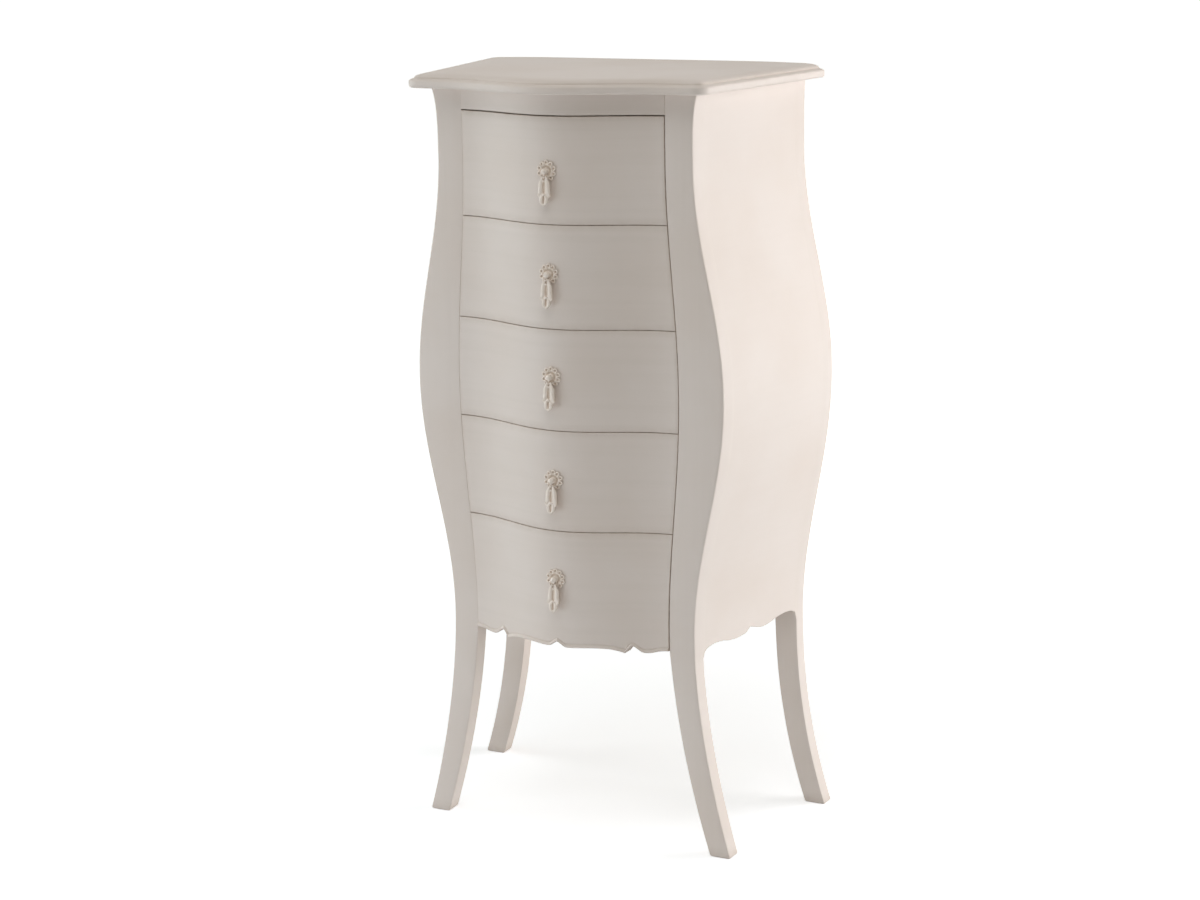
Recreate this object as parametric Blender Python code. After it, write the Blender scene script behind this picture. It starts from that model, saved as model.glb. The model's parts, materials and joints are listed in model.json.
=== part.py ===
"""A tall bombé chest of five bowed drawers on sabre legs (a chiffonier).

Metres, +Z up. The chest faces -Y, its plane of symmetry is X = 0, and the origin lies on the floor under
the middle of its bounding box. In plan the carcass is a trapezium, wider at the back, and each side is an
S curve in height: waist, belly, waist, then the splayed leg.
"""

import math

import bmesh
import bpy
from mathutils import Matrix, Vector

# Overall sizes
HEIGHT = 1.100
CARCASS_DEPTH = 0.2765
BOW = 0.045
BOW_SHARPNESS = 1.1

# The S curve of the sides, as (front edge, back edge) half widths and their heights
FOOT_HALF = (0.2450, 0.2905)
LOW_WAIST_HALF = (0.1923, 0.2452)
BELLY_HALF = (0.2393, 0.2900)
HIGH_WAIST_HALF = (0.1963, 0.2464)
CROWN_HALF = (0.2043, 0.2484)
LOW_WAIST_Z = (0.320, 0.290)
BELLY_Z = 0.662
HIGH_WAIST_Z = 0.987
LEG_SPLAY_POWER = (1.75, 2.10)
CROWN_POWER = 4.0

# Top board
TOP_THICKNESS = 0.021
TOP_FRONT_OVERHANG = 0.032
TOP_SIDE_OVERHANG = 0.0275
TOP_CORNER_RADIUS = 0.022
# The moulded edge, upwards: how far it is drawn in, and its height as a share of the thickness
TOP_EDGE = (
    (0.0040, 0.00), (0.0012, 0.08), (0.0000, 0.28), (0.0006, 0.47), (0.0030, 0.61), (0.0088, 0.64),
    (0.0098, 0.71), (0.0114, 0.81), (0.0146, 0.91), (0.0196, 0.97), (0.0260, 1.00),
)

# Legs, which run up as the corner posts
FRONT_LEG_DEPTH = 0.026
BACK_LEG_DEPTH = 0.0245
FRONT_FOOT_WIDTH = 0.0315
BACK_FOOT_WIDTH = 0.0325
BACK_POST_WIDTH = 0.0355
LEG_EDGE_RADIUS = 0.002
LEG_SQUARE_BELOW = 0.025
FOOT_CHAMFER = 0.003

# Panels
SIDE_THICKNESS = 0.016
BACK_THICKNESS = 0.008
BOTTOM_BOARD_THICKNESS = 0.008
BOTTOM_BOARD_DROP = 0.004

# Drawer opening between the front posts: half widths at the low waist, belly and high waist
OPENING_HALF = (0.1543, 0.1727, 0.1563)
TOP_RAIL_HEIGHT = 0.0311
RAIL_THICKNESS = 0.018

# Drawers, from the top: pitch of each front, and how far its pull lies below the top line
DRAWER_PITCHES = (0.1474, 0.1446, 0.1432, 0.1439, 0.1703)
PULL_DROPS = (0.0738, 0.0677, 0.0665, 0.0702, 0.0694)
DRAWER_GAP = 0.0025
DRAWER_SIDE_GAP = 0.0015
FRONT_THICKNESS = 0.018
BOX_SIDE_CLEARANCE = 0.0063
BOX_WALL = 0.012
BOX_HEIGHT = 0.115
BOX_TOP_DROP = 0.016
BOX_BOTTOM_THICKNESS = 0.005
BOX_BOTTOM_RISE = 0.008
GROOVE_DEPTH = 0.006
HOUSING_DEPTH = 0.008
DRAWER_STOP_GAP = 0.001

# Runners, with a guide strip beside the drawer
RUNNER_THICKNESS = 0.013
RUNNER_BEARING = 0.014
GUIDE_WIDTH = 0.011
GUIDE_HEIGHT = 0.012
GUIDE_CLEARANCE = 0.0006

# Cut edge of the apron: share of the half span, and height above the apron line
FRONT_SCALLOP = (
    ((0.00, 0.0080), (0.04, 0.0045), (0.09, 0.0004), (0.22, 0.0008), (0.36, 0.0012), (0.50, -0.0006),
     (0.61, -0.0055)),
    ((0.61, -0.0055), (0.675, 0.0045), (0.76, -0.0040), (0.84, -0.0045), (0.92, -0.0015), (1.02, 0.0000)),
)
SIDE_SCALLOP = (
    ((0.00, 0.0063), (0.06, 0.0005), (0.14, -0.0030), (0.32, -0.0042), (0.48, -0.0022), (0.60, 0.0010),
     (0.76, 0.0024), (0.90, 0.0012), (0.97, -0.0014), (1.02, -0.0055)),
)

SCALLOP_CUT_BELOW = 0.030

# Pulls, measured from the centre of the rosette
ROSETTE_RADIUS = 0.0150
ROSETTE_LOBES = 10
ROSETTE_LOBE_DEPTH = 0.0014
ROSETTE_THICKNESS = 0.0022
ROSETTE_HOLE_RING = 0.0114
ROSETTE_HOLE_RADIUS = 0.0014
POST_RADIUS = 0.0019
POST_BALL_RADIUS = 0.0043
POST_REACH = 0.0078
POST_TAIL = 0.0060
TONGUE_WIDTH = 0.0024
TONGUE_DEPTH = 0.0036
PIVOT_BELOW_BALL = 0.0080
PIVOT_HOLE_RADIUS = 0.0012
PIVOT_PIN_RADIUS = 0.0008
DROP_LENGTH = 0.0405
DROP_HALF_WIDTH = 0.0090
DROP_THICKNESS = 0.0036
DROP_EAR_OUTER = 0.0036

# Fits
SEAT = 0.0003
HOLE_CLEARANCE = 0.0004

# Mesh fineness
SIDE_ROWS = 26
LEG_ROWS = 12
BOW_COLUMNS = 20
FRONT_ROWS = 4
SCALLOP_STEPS = 3
ARC_STEPS = 5
POST_SIDES = 14
PIN_SIDES = 8
BALL_ROWS = 6
POLE_ANGLE = math.radians(20)

# Turns that stand a flat outline up, facing along Y or along X
UPRIGHT_X = Matrix.Rotation(math.pi / 2, 4, "X")
UPRIGHT_Y = Matrix(((0, 0, 1, 0), (1, 0, 0, 0), (0, 1, 0, 0), (0, 0, 0, 1)))

# The bow dies out where the fronts meet the posts, and a box clears the opening at its narrowest
BOW_HALF_SPAN = OPENING_HALF[1] + SEAT
BOX_HALF = min(OPENING_HALF) - BOX_SIDE_CLEARANCE

# Derived planes and levels
DEPTH = BOW + TOP_FRONT_OVERHANG + CARCASS_DEPTH
FRONT_Y = -DEPTH / 2 + BOW + TOP_FRONT_OVERHANG
BACK_Y = FRONT_Y + CARCASS_DEPTH
INNER_FRONT_Y = FRONT_Y + FRONT_LEG_DEPTH
INNER_BACK_Y = BACK_Y - BACK_LEG_DEPTH
BOARD_Z = HEIGHT - TOP_THICKNESS
POST_TOP_Z = BOARD_Z - SEAT
TOP_LINE_Z = BOARD_Z - TOP_RAIL_HEIGHT
APRON_Z = TOP_LINE_Z - sum(DRAWER_PITCHES)
CROWN_CANT = math.atan((CROWN_HALF[1] - CROWN_HALF[0]) / CARCASS_DEPTH)


def clear_scene():
    for old in list(bpy.data.objects):
        bpy.data.objects.remove(old, do_unlink=True)


def make_collection(name):
    group = bpy.data.collections.new(name)
    bpy.context.scene.collection.children.link(group)
    return group


def make_material(name, colour, roughness, metallic=0.0):
    material = bpy.data.materials.new(name)
    material.use_nodes = True
    shader = material.node_tree.nodes["Principled BSDF"]
    shader.inputs["Base Color"].default_value = (*colour, 1.0)
    shader.inputs["Roughness"].default_value = roughness
    shader.inputs["Metallic"].default_value = metallic
    return material


clear_scene()
CHEST = make_collection("chiffonier")
CUTTERS = make_collection("cutters")
PAINT = make_material("cream_paint", (0.66, 0.60, 0.54), 0.45)
BARE_WOOD = make_material("bare_wood", (0.50, 0.36, 0.22), 0.65)
PLYWOOD = make_material("plywood", (0.55, 0.42, 0.28), 0.70)
PULL_METAL = make_material("painted_metal", (0.68, 0.61, 0.52), 0.40)


# Shapes shared by the pieces

def blend(a, b, share):
    return a + (b - a) * share


def ease(share):
    """A smooth step from 0 to 1, flat at both ends."""
    return 0.5 - 0.5 * math.cos(math.pi * share)


def swell(z, low, belly, high, low_z):
    """An edge that swells from the low waist to the belly and draws in again to the high waist."""
    if z < BELLY_Z:
        return blend(low, belly, ease(max(0.0, z - low_z) / (BELLY_Z - low_z)))
    return blend(high, belly, ease(max(0.0, HIGH_WAIST_Z - z) / (HIGH_WAIST_Z - BELLY_Z)))


def edge_half(z, edge):
    """Half width of the carcass at its front edge (0) or back edge (1)."""
    low_z = LOW_WAIST_Z[edge]
    if z < low_z:
        splay = ((low_z - z) / low_z) ** LEG_SPLAY_POWER[edge]
        return blend(LOW_WAIST_HALF[edge], FOOT_HALF[edge], splay)
    if z > HIGH_WAIST_Z:
        flare = ((z - HIGH_WAIST_Z) / (BOARD_Z - HIGH_WAIST_Z)) ** CROWN_POWER
        return blend(HIGH_WAIST_HALF[edge], CROWN_HALF[edge], flare)
    return swell(z, LOW_WAIST_HALF[edge], BELLY_HALF[edge], HIGH_WAIST_HALF[edge], low_z)


def side_half(z, y):
    """Half width of the carcass at any depth: straight from its front edge to its back edge."""
    return blend(edge_half(z, 0), edge_half(z, 1), (y - FRONT_Y) / CARCASS_DEPTH)


def opening_half(z):
    return swell(z, *OPENING_HALF, LOW_WAIST_Z[0])


def bow(x):
    """How far the front lies before the posts, as a negative Y."""
    share = min(1.0, abs(x) / BOW_HALF_SPAN)
    return -BOW * (0.5 + 0.5 * math.cos(math.pi * share)) ** BOW_SHARPNESS


def spread(start, end, count):
    """Evenly spaced values, with both ends."""
    return [blend(start, end, i / count) for i in range(count + 1)]


def smooth_run(points, steps):
    """A Catmull-Rom curve through the points."""
    ends = [points[0], *points, points[-1]]
    run = []
    for i in range(1, len(ends) - 2):
        before, start, end, after = (Vector(p) for p in ends[i - 1:i + 3])
        for step in range(steps):
            t = step / steps
            run.append(0.5 * (2 * start + (end - before) * t
                              + (2 * before - 5 * start + 4 * end - after) * t ** 2
                              + (3 * start - before - 3 * end + after) * t ** 3))
    run.append(Vector(points[-1]))
    return run


# Making objects

def finish_mesh(shape, name):
    bmesh.ops.recalc_face_normals(shape, faces=shape.faces)
    if shape.calc_volume(signed=True) < 0:
        bmesh.ops.reverse_faces(shape, faces=shape.faces)
    mesh = bpy.data.meshes.new(name)
    shape.to_mesh(mesh)
    shape.free()
    return mesh


def add_object(name, mesh, material, collection=None):
    piece = bpy.data.objects.new(name, mesh)
    if material:
        mesh.materials.append(material)
    (collection or CHEST).objects.link(piece)
    return piece


def cap_faces(loop, in_strips):
    """One flat face over a loop, or strips from its first half to its second half where the end is curved."""
    if not in_strips:
        return [loop]
    count = len(loop)
    return [(loop[i], loop[i + 1], loop[count - 2 - i], loop[count - 1 - i]) for i in range(count // 2 - 1)]


def loft(name, rings, material, collection=None, in_strips=False):
    """A closed solid through rings of equally many points, with its first and last ring capped."""
    shape = bmesh.new()
    loops = [[shape.verts.new(p) for p in ring] for ring in rings]
    count = len(loops[0])
    for lower, upper in zip(loops, loops[1:]):
        for i in range(count):
            j = (i + 1) % count
            shape.faces.new((lower[i], lower[j], upper[j], upper[i]))
    for loop in (loops[0], loops[-1]):
        for face in cap_faces(loop, in_strips):
            shape.faces.new(face)
    piece = add_object(name, finish_mesh(shape, name), material, collection)
    piece.data.shade_smooth()
    piece.data.set_sharp_from_angle(angle=math.radians(30))
    return piece


def cut_outline(name, outlines, thickness, place, material, collection=None):
    """A flat piece of even thickness: the first outline is its edge, and the others are holes."""
    curve = bpy.data.curves.new(name, "CURVE")
    curve.dimensions = "2D"
    curve.fill_mode = "BOTH"
    curve.extrude = thickness / 2
    for outline in outlines:
        spline = curve.splines.new("POLY")
        spline.points.add(len(outline) - 1)
        spline.use_cyclic_u = True
        for point, (x, y) in zip(spline.points, outline):
            point.co = (x, y, 0.0, 1.0)
    guide = bpy.data.objects.new(name + "_outline", curve)
    CUTTERS.objects.link(guide)
    bpy.context.view_layer.update()
    flat = bpy.data.meshes.new_from_object(guide.evaluated_get(bpy.context.evaluated_depsgraph_get()))
    bpy.data.objects.remove(guide, do_unlink=True)
    shape = bmesh.new()
    shape.from_mesh(flat)
    bmesh.ops.remove_doubles(shape, verts=shape.verts, dist=1e-6)
    bmesh.ops.transform(shape, matrix=place, verts=shape.verts)
    piece = add_object(name, finish_mesh(shape, name), material, collection)
    piece.data.set_sharp_from_angle(angle=math.radians(30))
    return piece


def box(name, low, high, material, collection=None):
    shape = bmesh.new()
    size = Vector(high) - Vector(low)
    middle = (Vector(high) + Vector(low)) / 2
    matrix = Matrix.Translation(middle) @ Matrix.Diagonal((*size, 1.0))
    bmesh.ops.create_cube(shape, size=1.0, matrix=matrix)
    return add_object(name, finish_mesh(shape, name), material, collection)


def rod(name, start, end, radius, sides, material, collection=None):
    """A straight round bar from start to end."""
    shape = bmesh.new()
    along = Vector(end) - Vector(start)
    turn = along.to_track_quat("Z", "Y").to_matrix().to_4x4()
    matrix = Matrix.Translation((Vector(start) + Vector(end)) / 2) @ turn
    bmesh.ops.create_cone(shape, cap_ends=True, segments=sides, radius1=radius, radius2=radius,
                          depth=along.length, matrix=matrix)
    return add_object(name, finish_mesh(shape, name), material, collection)


def combine(piece, operation, tools):
    """Cuts all the tools from the piece at once, or joins them on."""
    group = bpy.data.collections.new(tools[0].name)
    CUTTERS.children.link(group)
    for tool in tools:
        tool.hide_render = True
        tool.display_type = "WIRE"
        CUTTERS.objects.unlink(tool)
        group.objects.link(tool)
    modifier = piece.modifiers.new(tools[0].name, "BOOLEAN")
    modifier.operation = operation
    modifier.solver = "EXACT"
    modifier.operand_type = "COLLECTION"
    modifier.collection = group


def move_origin(piece, origin):
    piece.data.transform(Matrix.Translation(-Vector(origin)))
    piece.location = origin


def hang_on(piece, parent):
    """Parents a piece, and its cutters with it, without moving them."""
    piece.parent = parent
    piece.location = piece.location - parent.location
    for modifier in piece.modifiers:
        for tool in modifier.collection.objects:
            hang_on(tool, parent)


# Carcass

def softened_corner(corner, before, after):
    """A corner of a section, cut off by a small chamfer."""
    corner, before, after = Vector(corner), Vector(before), Vector(after)
    return [corner + (end - corner).normalized() * LEG_EDGE_RADIUS for end in (before, after)]


def front_leg_inner(z):
    """The inner edge follows the drawer opening, then the leg tapers below the apron."""
    if z >= APRON_Z:
        return opening_half(z)
    post_width = edge_half(APRON_Z, 0) - opening_half(APRON_Z)
    return edge_half(z, 0) - blend(FRONT_FOOT_WIDTH, post_width, z / APRON_Z)


def back_leg_inner(z):
    return edge_half(z, 1) - blend(BACK_FOOT_WIDTH, BACK_POST_WIDTH, min(1.0, z / APRON_Z))


def leg_levels():
    return [0.0] + spread(FOOT_CHAMFER, APRON_Z, LEG_ROWS)[:-1] + spread(APRON_Z, POST_TOP_Z, SIDE_ROWS)


def leg_outer(z, y, edge):
    """The outer face is flush with the canted side as a post, and turns square below the apron."""
    square = ease(min(1.0, max(0.0, APRON_Z - z) / LEG_SQUARE_BELOW))
    return blend(side_half(z, y), edge_half(z, edge), square)


def leg(name, side, edge, inner, front, back):
    """A corner post and its sabre leg in one, with its free edges softened and the foot chamfered."""
    rings = []
    for z in leg_levels():
        drawn_in = max(0.0, FOOT_CHAMFER - z)
        corners = [(inner(z) + drawn_in, front + drawn_in), (leg_outer(z, front, edge) - drawn_in, front + drawn_in),
                   (leg_outer(z, back, edge) - drawn_in, back - drawn_in), (inner(z) + drawn_in, back - drawn_in)]
        ring = []
        for i, corner in enumerate(corners):
            if (i < 2) == (edge == 0):
                ring += softened_corner(corner, corners[i - 1], corners[(i + 1) % 4])
            else:
                ring.append(Vector(corner))
        rings.append([(side * p.x, p.y, z) for p in ring])
    return loft(name, rings, PAINT)


def scallop_outline(runs, centre, half_span, line, depth_below):
    """The cut edge mirrored about its centre, closed well below it, as a cutter's outline."""
    half = []
    for run in runs:
        half += smooth_run(run, SCALLOP_STEPS)[:-1]
    half.append(Vector(runs[-1][-1]))
    edge = [(centre - p.x * half_span, line + p.y) for p in reversed(half[1:])]
    edge += [(centre + p.x * half_span, line + p.y) for p in half]
    return edge + [(edge[-1][0], line - depth_below), (edge[0][0], line - depth_below)]


def side_panel(name, side):
    """A curved panel between the front and the back post, flush with both, with a cut lower edge."""
    front = INNER_FRONT_Y + SEAT
    back = INNER_BACK_Y - SEAT
    bottom = APRON_Z - SCALLOP_CUT_BELOW / 2
    rings = []
    for z in spread(bottom, POST_TOP_Z, SIDE_ROWS):
        outer_front, outer_back = side_half(z, front), side_half(z, back)
        ring = [(outer_front, front), (outer_back, back),
                (outer_back - SIDE_THICKNESS, back), (outer_front - SIDE_THICKNESS, front)]
        rings.append([(side * x, y, z) for x, y in ring])
    panel = loft(name, rings, PAINT)
    outline = scallop_outline(SIDE_SCALLOP, (front + back) / 2, (back - front) / 2, APRON_Z, SCALLOP_CUT_BELOW)
    reach = FOOT_HALF[1]
    place = Matrix.Translation((side * reach / 2, 0, 0)) @ UPRIGHT_Y
    combine(panel, "DIFFERENCE", [cut_outline(name + "_scallop", [outline], reach, place, None, CUTTERS)])
    return panel


def side_inner(z, y):
    return side_half(z, y) - SIDE_THICKNESS - SEAT


def back_panel():
    """A thin panel between the back posts, which stand proud of it behind."""
    levels = spread(APRON_Z + BOTTOM_BOARD_DROP, POST_TOP_Z, SIDE_ROWS)
    right = [(back_leg_inner(z) - SEAT, z) for z in levels]
    outline = right + [(-x, z) for x, z in reversed(right)]
    place = Matrix.Translation((0, INNER_BACK_Y + BACK_THICKNESS / 2, 0)) @ UPRIGHT_X
    return cut_outline("back_panel", [outline], BACK_THICKNESS, place, PLYWOOD)


def bottom_board():
    """Closes the carcass under the lowest drawer, from panel to panel."""
    low = bottom_board_low()
    high = low + BOTTOM_BOARD_THICKNESS
    front = INNER_FRONT_Y + SEAT
    back = INNER_BACK_Y - SEAT
    rings = []
    for z in (low, high):
        right_front, right_back = side_inner(z, front), side_inner(z, back)
        rings.append([(-right_front, front, z), (right_front, front, z), (right_back, back, z), (-right_back, back, z)])
    return loft("bottom_board", rings, PLYWOOD)


def bottom_board_low():
    notch = max(p[1] for run in FRONT_SCALLOP + SIDE_SCALLOP for p in run)
    return APRON_Z + notch + BOTTOM_BOARD_DROP


def bowed(name, profile, half, material, collection=None):
    """A board swept along the bow. The profile is a closed loop of (height, distance behind the face)."""
    rings = []
    for share in spread(-1.0, 1.0, BOW_COLUMNS):
        ring = []
        for z, behind in profile:
            x = share * half(z)
            ring.append((x, FRONT_Y + bow(x) + behind, z))
        rings.append(ring)
    return loft(name, rings, material, collection, in_strips=True)


def board_profile(bottom, top, thickness, rows):
    levels = spread(bottom, top, rows)
    return [(z, 0.0) for z in levels] + [(z, thickness) for z in reversed(levels)]


def top_rail():
    profile = board_profile(TOP_LINE_Z + DRAWER_GAP / 2, POST_TOP_Z, RAIL_THICKNESS, 1)
    return bowed("top_rail", profile, lambda z: opening_half(z) - SEAT, PAINT)


def top_outline(inset):
    """The plan of the top board, drawn in at the front and the sides; the back stays flush."""
    front = FRONT_Y - TOP_FRONT_OVERHANG + inset
    side_at_front = side_half(BOARD_Z, front) + (TOP_SIDE_OVERHANG - inset) / math.cos(CROWN_CANT)
    side_at_back = side_half(BOARD_Z, BACK_Y) + (TOP_SIDE_OVERHANG - inset) / math.cos(CROWN_CANT)
    radius = max(TOP_CORNER_RADIUS - inset, TOP_CORNER_RADIUS / 5)
    # The corner is wider than a right angle on the front and the side turns by the cant
    reach = radius * math.tan((math.pi / 2 - CROWN_CANT) / 2)
    centre = Vector((side_at_front - reach, front + radius))
    corner = []
    for angle in spread(-math.pi / 2, -CROWN_CANT, ARC_STEPS):
        corner.append((centre.x + radius * math.cos(angle), centre.y + radius * math.sin(angle)))
    nose = [(x, front + bow(x)) for x in spread(-BOW_HALF_SPAN, BOW_HALF_SPAN, BOW_COLUMNS)]
    left = [(-x, y) for x, y in reversed(corner)]
    return left + nose + corner + [(side_at_back, BACK_Y), (-side_at_back, BACK_Y)]


def top_board():
    rings = [[(x, y, BOARD_Z + share * TOP_THICKNESS) for x, y in top_outline(inset)] for inset, share in TOP_EDGE]
    return loft("top_board", rings, PAINT)


def carcass():
    top_board()
    top_rail()
    back_panel()
    bottom_board()
    for label, side in (("left", -1), ("right", 1)):
        side_panel("side_panel_" + label, side)
        leg("leg_front_" + label, side, 0, front_leg_inner, FRONT_Y, INNER_FRONT_Y)
        leg("leg_back_" + label, side, 1, back_leg_inner, INNER_BACK_Y, BACK_Y)


# Drawers

def drawer_levels():
    """The bottom and top of each front, from the top drawer down."""
    levels = []
    line = TOP_LINE_Z
    for pitch in DRAWER_PITCHES:
        levels.append((line - pitch + DRAWER_GAP / 2, line - DRAWER_GAP / 2))
        line -= pitch
    return levels


def runner(name, side, box_bottom):
    """A bearer under the drawer's side, from the side panel inwards, with a guide strip on top of it."""
    top = box_bottom - SEAT
    bottom = top - RUNNER_THICKNESS
    guide_top = top + GUIDE_HEIGHT
    inner = BOX_HALF - RUNNER_BEARING
    guide = BOX_HALF + GUIDE_CLEARANCE
    rings = []
    for y in (INNER_FRONT_Y + SEAT, INNER_BACK_Y - SEAT):
        section = [(inner, bottom), (side_inner(bottom, y), bottom), (side_inner(top, y), top),
                   (guide + GUIDE_WIDTH, top), (guide + GUIDE_WIDTH, guide_top), (guide, guide_top),
                   (guide, top), (inner, top)]
        rings.append([(side * x, y, z) for x, z in section])
    return loft(name, rings, BARE_WOOD)


def drawer_front(number, bottom, top, box_bottom, pull_z):
    """A bowed front, housed for the sides, grooved for the bottom and bored for the pull."""
    name = f"drawer_{number}_front"
    is_lowest = number == len(DRAWER_PITCHES)
    lower = APRON_Z - SCALLOP_CUT_BELOW / 2 if is_lowest else bottom
    profile = board_profile(lower, top, FRONT_THICKNESS, FRONT_ROWS)
    front = bowed(name, profile, lambda z: opening_half(z) - DRAWER_SIDE_GAP, PAINT)

    groove_low = box_bottom + BOX_BOTTOM_RISE - SEAT
    groove_high = groove_low + BOX_BOTTOM_THICKNESS + 2 * SEAT
    groove = [(groove_low, FRONT_THICKNESS - GROOVE_DEPTH), (groove_high, FRONT_THICKNESS - GROOVE_DEPTH),
              (groove_high, FRONT_THICKNESS + GROOVE_DEPTH), (groove_low, FRONT_THICKNESS + GROOVE_DEPTH)]
    cuts = [bowed(name + "_groove", groove, lambda z: BOX_HALF - BOX_WALL / 2, None, CUTTERS)]

    for label, side in (("left", -1), ("right", 1)):
        xs = sorted((side * (BOX_HALF + SEAT), side * (BOX_HALF - BOX_WALL - SEAT)))
        low = (xs[0], FRONT_Y + FRONT_THICKNESS - HOUSING_DEPTH, box_bottom - SEAT)
        high = (xs[1], FRONT_Y + FRONT_THICKNESS + HOUSING_DEPTH, box_bottom + BOX_HEIGHT + SEAT)
        cuts.append(box(f"{name}_housing_{label}", low, high, None, CUTTERS))

    face = FRONT_Y - BOW
    cuts.append(rod(name + "_bore", (0, face - FRONT_THICKNESS, pull_z), (0, face + 2 * FRONT_THICKNESS, pull_z),
                    POST_RADIUS + HOLE_CLEARANCE, POST_SIDES, None, CUTTERS))

    if is_lowest:
        span = opening_half(APRON_Z) - DRAWER_SIDE_GAP
        outline = scallop_outline(FRONT_SCALLOP, 0.0, span, APRON_Z, SCALLOP_CUT_BELOW)
        thickness = 2 * (BOW + FRONT_THICKNESS)
        place = Matrix.Translation((0, FRONT_Y, 0)) @ UPRIGHT_X
        cuts.append(cut_outline(name + "_scallop", [outline], thickness, place, None, CUTTERS))
    combine(front, "DIFFERENCE", cuts)
    return front


def drawer_side(name, side, box_bottom, rear):
    """A side board with the groove that holds the drawer's bottom."""
    front = FRONT_Y + FRONT_THICKNESS - HOUSING_DEPTH + SEAT
    groove_low = box_bottom + BOX_BOTTOM_RISE - SEAT
    groove_high = groove_low + BOX_BOTTOM_THICKNESS + 2 * SEAT
    inner = BOX_HALF - BOX_WALL
    section = [(BOX_HALF, box_bottom), (BOX_HALF, box_bottom + BOX_HEIGHT), (inner, box_bottom + BOX_HEIGHT),
               (inner, groove_high), (inner + GROOVE_DEPTH, groove_high), (inner + GROOVE_DEPTH, groove_low),
               (inner, groove_low), (inner, box_bottom)]
    return loft(name, [[(side * x, y, z) for x, z in section] for y in (front, rear)], BARE_WOOD)


def drawer_back(name, box_bottom, rear):
    """The back stands on the bottom, between the sides."""
    half = BOX_HALF - BOX_WALL - SEAT
    foot = box_bottom + BOX_BOTTOM_RISE + BOX_BOTTOM_THICKNESS + SEAT
    return box(name, (-half, rear - BOX_WALL, foot), (half, rear, box_bottom + BOX_HEIGHT), BARE_WOOD)


def drawer_bottom(name, box_bottom, rear):
    """The bottom slides in grooves, and its front edge follows the bow."""
    half = BOX_HALF - BOX_WALL + GROOVE_DEPTH - SEAT
    behind = FRONT_Y + FRONT_THICKNESS - GROOVE_DEPTH + SEAT
    front_edge = [(x, behind + bow(x)) for x in spread(-BOX_HALF + BOX_WALL + SEAT, BOX_HALF - BOX_WALL - SEAT,
                                                       BOW_COLUMNS)]
    shoulder = FRONT_Y + FRONT_THICKNESS + SEAT
    ears_right = [(front_edge[-1][0], shoulder), (half, shoulder), (half, rear)]
    ears_left = [(-x, y) for x, y in reversed(ears_right)]
    middle = box_bottom + BOX_BOTTOM_RISE + BOX_BOTTOM_THICKNESS / 2
    place = Matrix.Translation((0, 0, middle))
    return cut_outline(name, [front_edge + ears_right + ears_left], BOX_BOTTOM_THICKNESS, place, PLYWOOD)


# Pulls, standing in the XZ plane with their centre at the origin

def circle(x, y, radius, sides, turn=0.0):
    angles = [turn + 2 * math.pi * i / sides for i in range(sides)]
    return [(x + radius * math.cos(a), y + radius * math.sin(a)) for a in angles]


def rosette(name, centre):
    """A pierced flower plate around the post."""
    edge = []
    steps = 6 * ROSETTE_LOBES
    for i in range(steps):
        angle = 2 * math.pi * i / steps
        radius = ROSETTE_RADIUS - ROSETTE_LOBE_DEPTH * (1 - abs(math.cos(ROSETTE_LOBES * angle / 2)))
        edge.append((radius * math.cos(angle), radius * math.sin(angle)))
    holes = [circle(0, 0, POST_RADIUS + HOLE_CLEARANCE, 10)]
    for i in range(ROSETTE_LOBES):
        angle = 2 * math.pi * i / ROSETTE_LOBES
        holes.append(circle(ROSETTE_HOLE_RING * math.cos(angle), ROSETTE_HOLE_RING * math.sin(angle),
                            ROSETTE_HOLE_RADIUS, 6, angle))
    out = SEAT + ROSETTE_THICKNESS / 2
    place = Matrix.Translation(centre + Vector((0, -out, 0))) @ UPRIGHT_X
    return cut_outline(name, [edge, *holes], ROSETTE_THICKNESS, place, PULL_METAL)


def post(name, centre):
    """A bolt through the front with a ball head, and a tongue under it with the pivot hole."""
    ball = centre + Vector((0, -POST_REACH, 0))
    neck = math.asin(POST_RADIUS / POST_BALL_RADIUS)
    profile = [(POST_BALL_RADIUS * math.sin(a), -POST_BALL_RADIUS * math.cos(a))
               for a in spread(POLE_ANGLE, math.pi - neck, BALL_ROWS)]
    profile.append((POST_RADIUS, POST_REACH + FRONT_THICKNESS + POST_TAIL))
    rings = [[ball + Vector((x, along, z)) for x, z in circle(0, 0, radius, POST_SIDES)]
             for radius, along in profile]
    piece = loft(name, rings, PULL_METAL)
    low = PIVOT_BELOW_BALL + PIVOT_HOLE_RADIUS + PIVOT_PIN_RADIUS
    half = Vector((TONGUE_WIDTH / 2, TONGUE_DEPTH / 2, 0))
    tongue = box(name + "_tongue", ball - half - Vector((0, 0, low)), ball + half, None, CUTTERS)
    combine(piece, "UNION", [tongue])
    pivot = ball - Vector((0, 0, PIVOT_BELOW_BALL))
    across = Vector((DROP_EAR_OUTER, 0, 0))
    eye = rod(name + "_eye", pivot - across, pivot + across, PIVOT_HOLE_RADIUS, PIN_SIDES, None, CUTTERS)
    combine(piece, "DIFFERENCE", [eye])
    return piece, pivot


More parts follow.
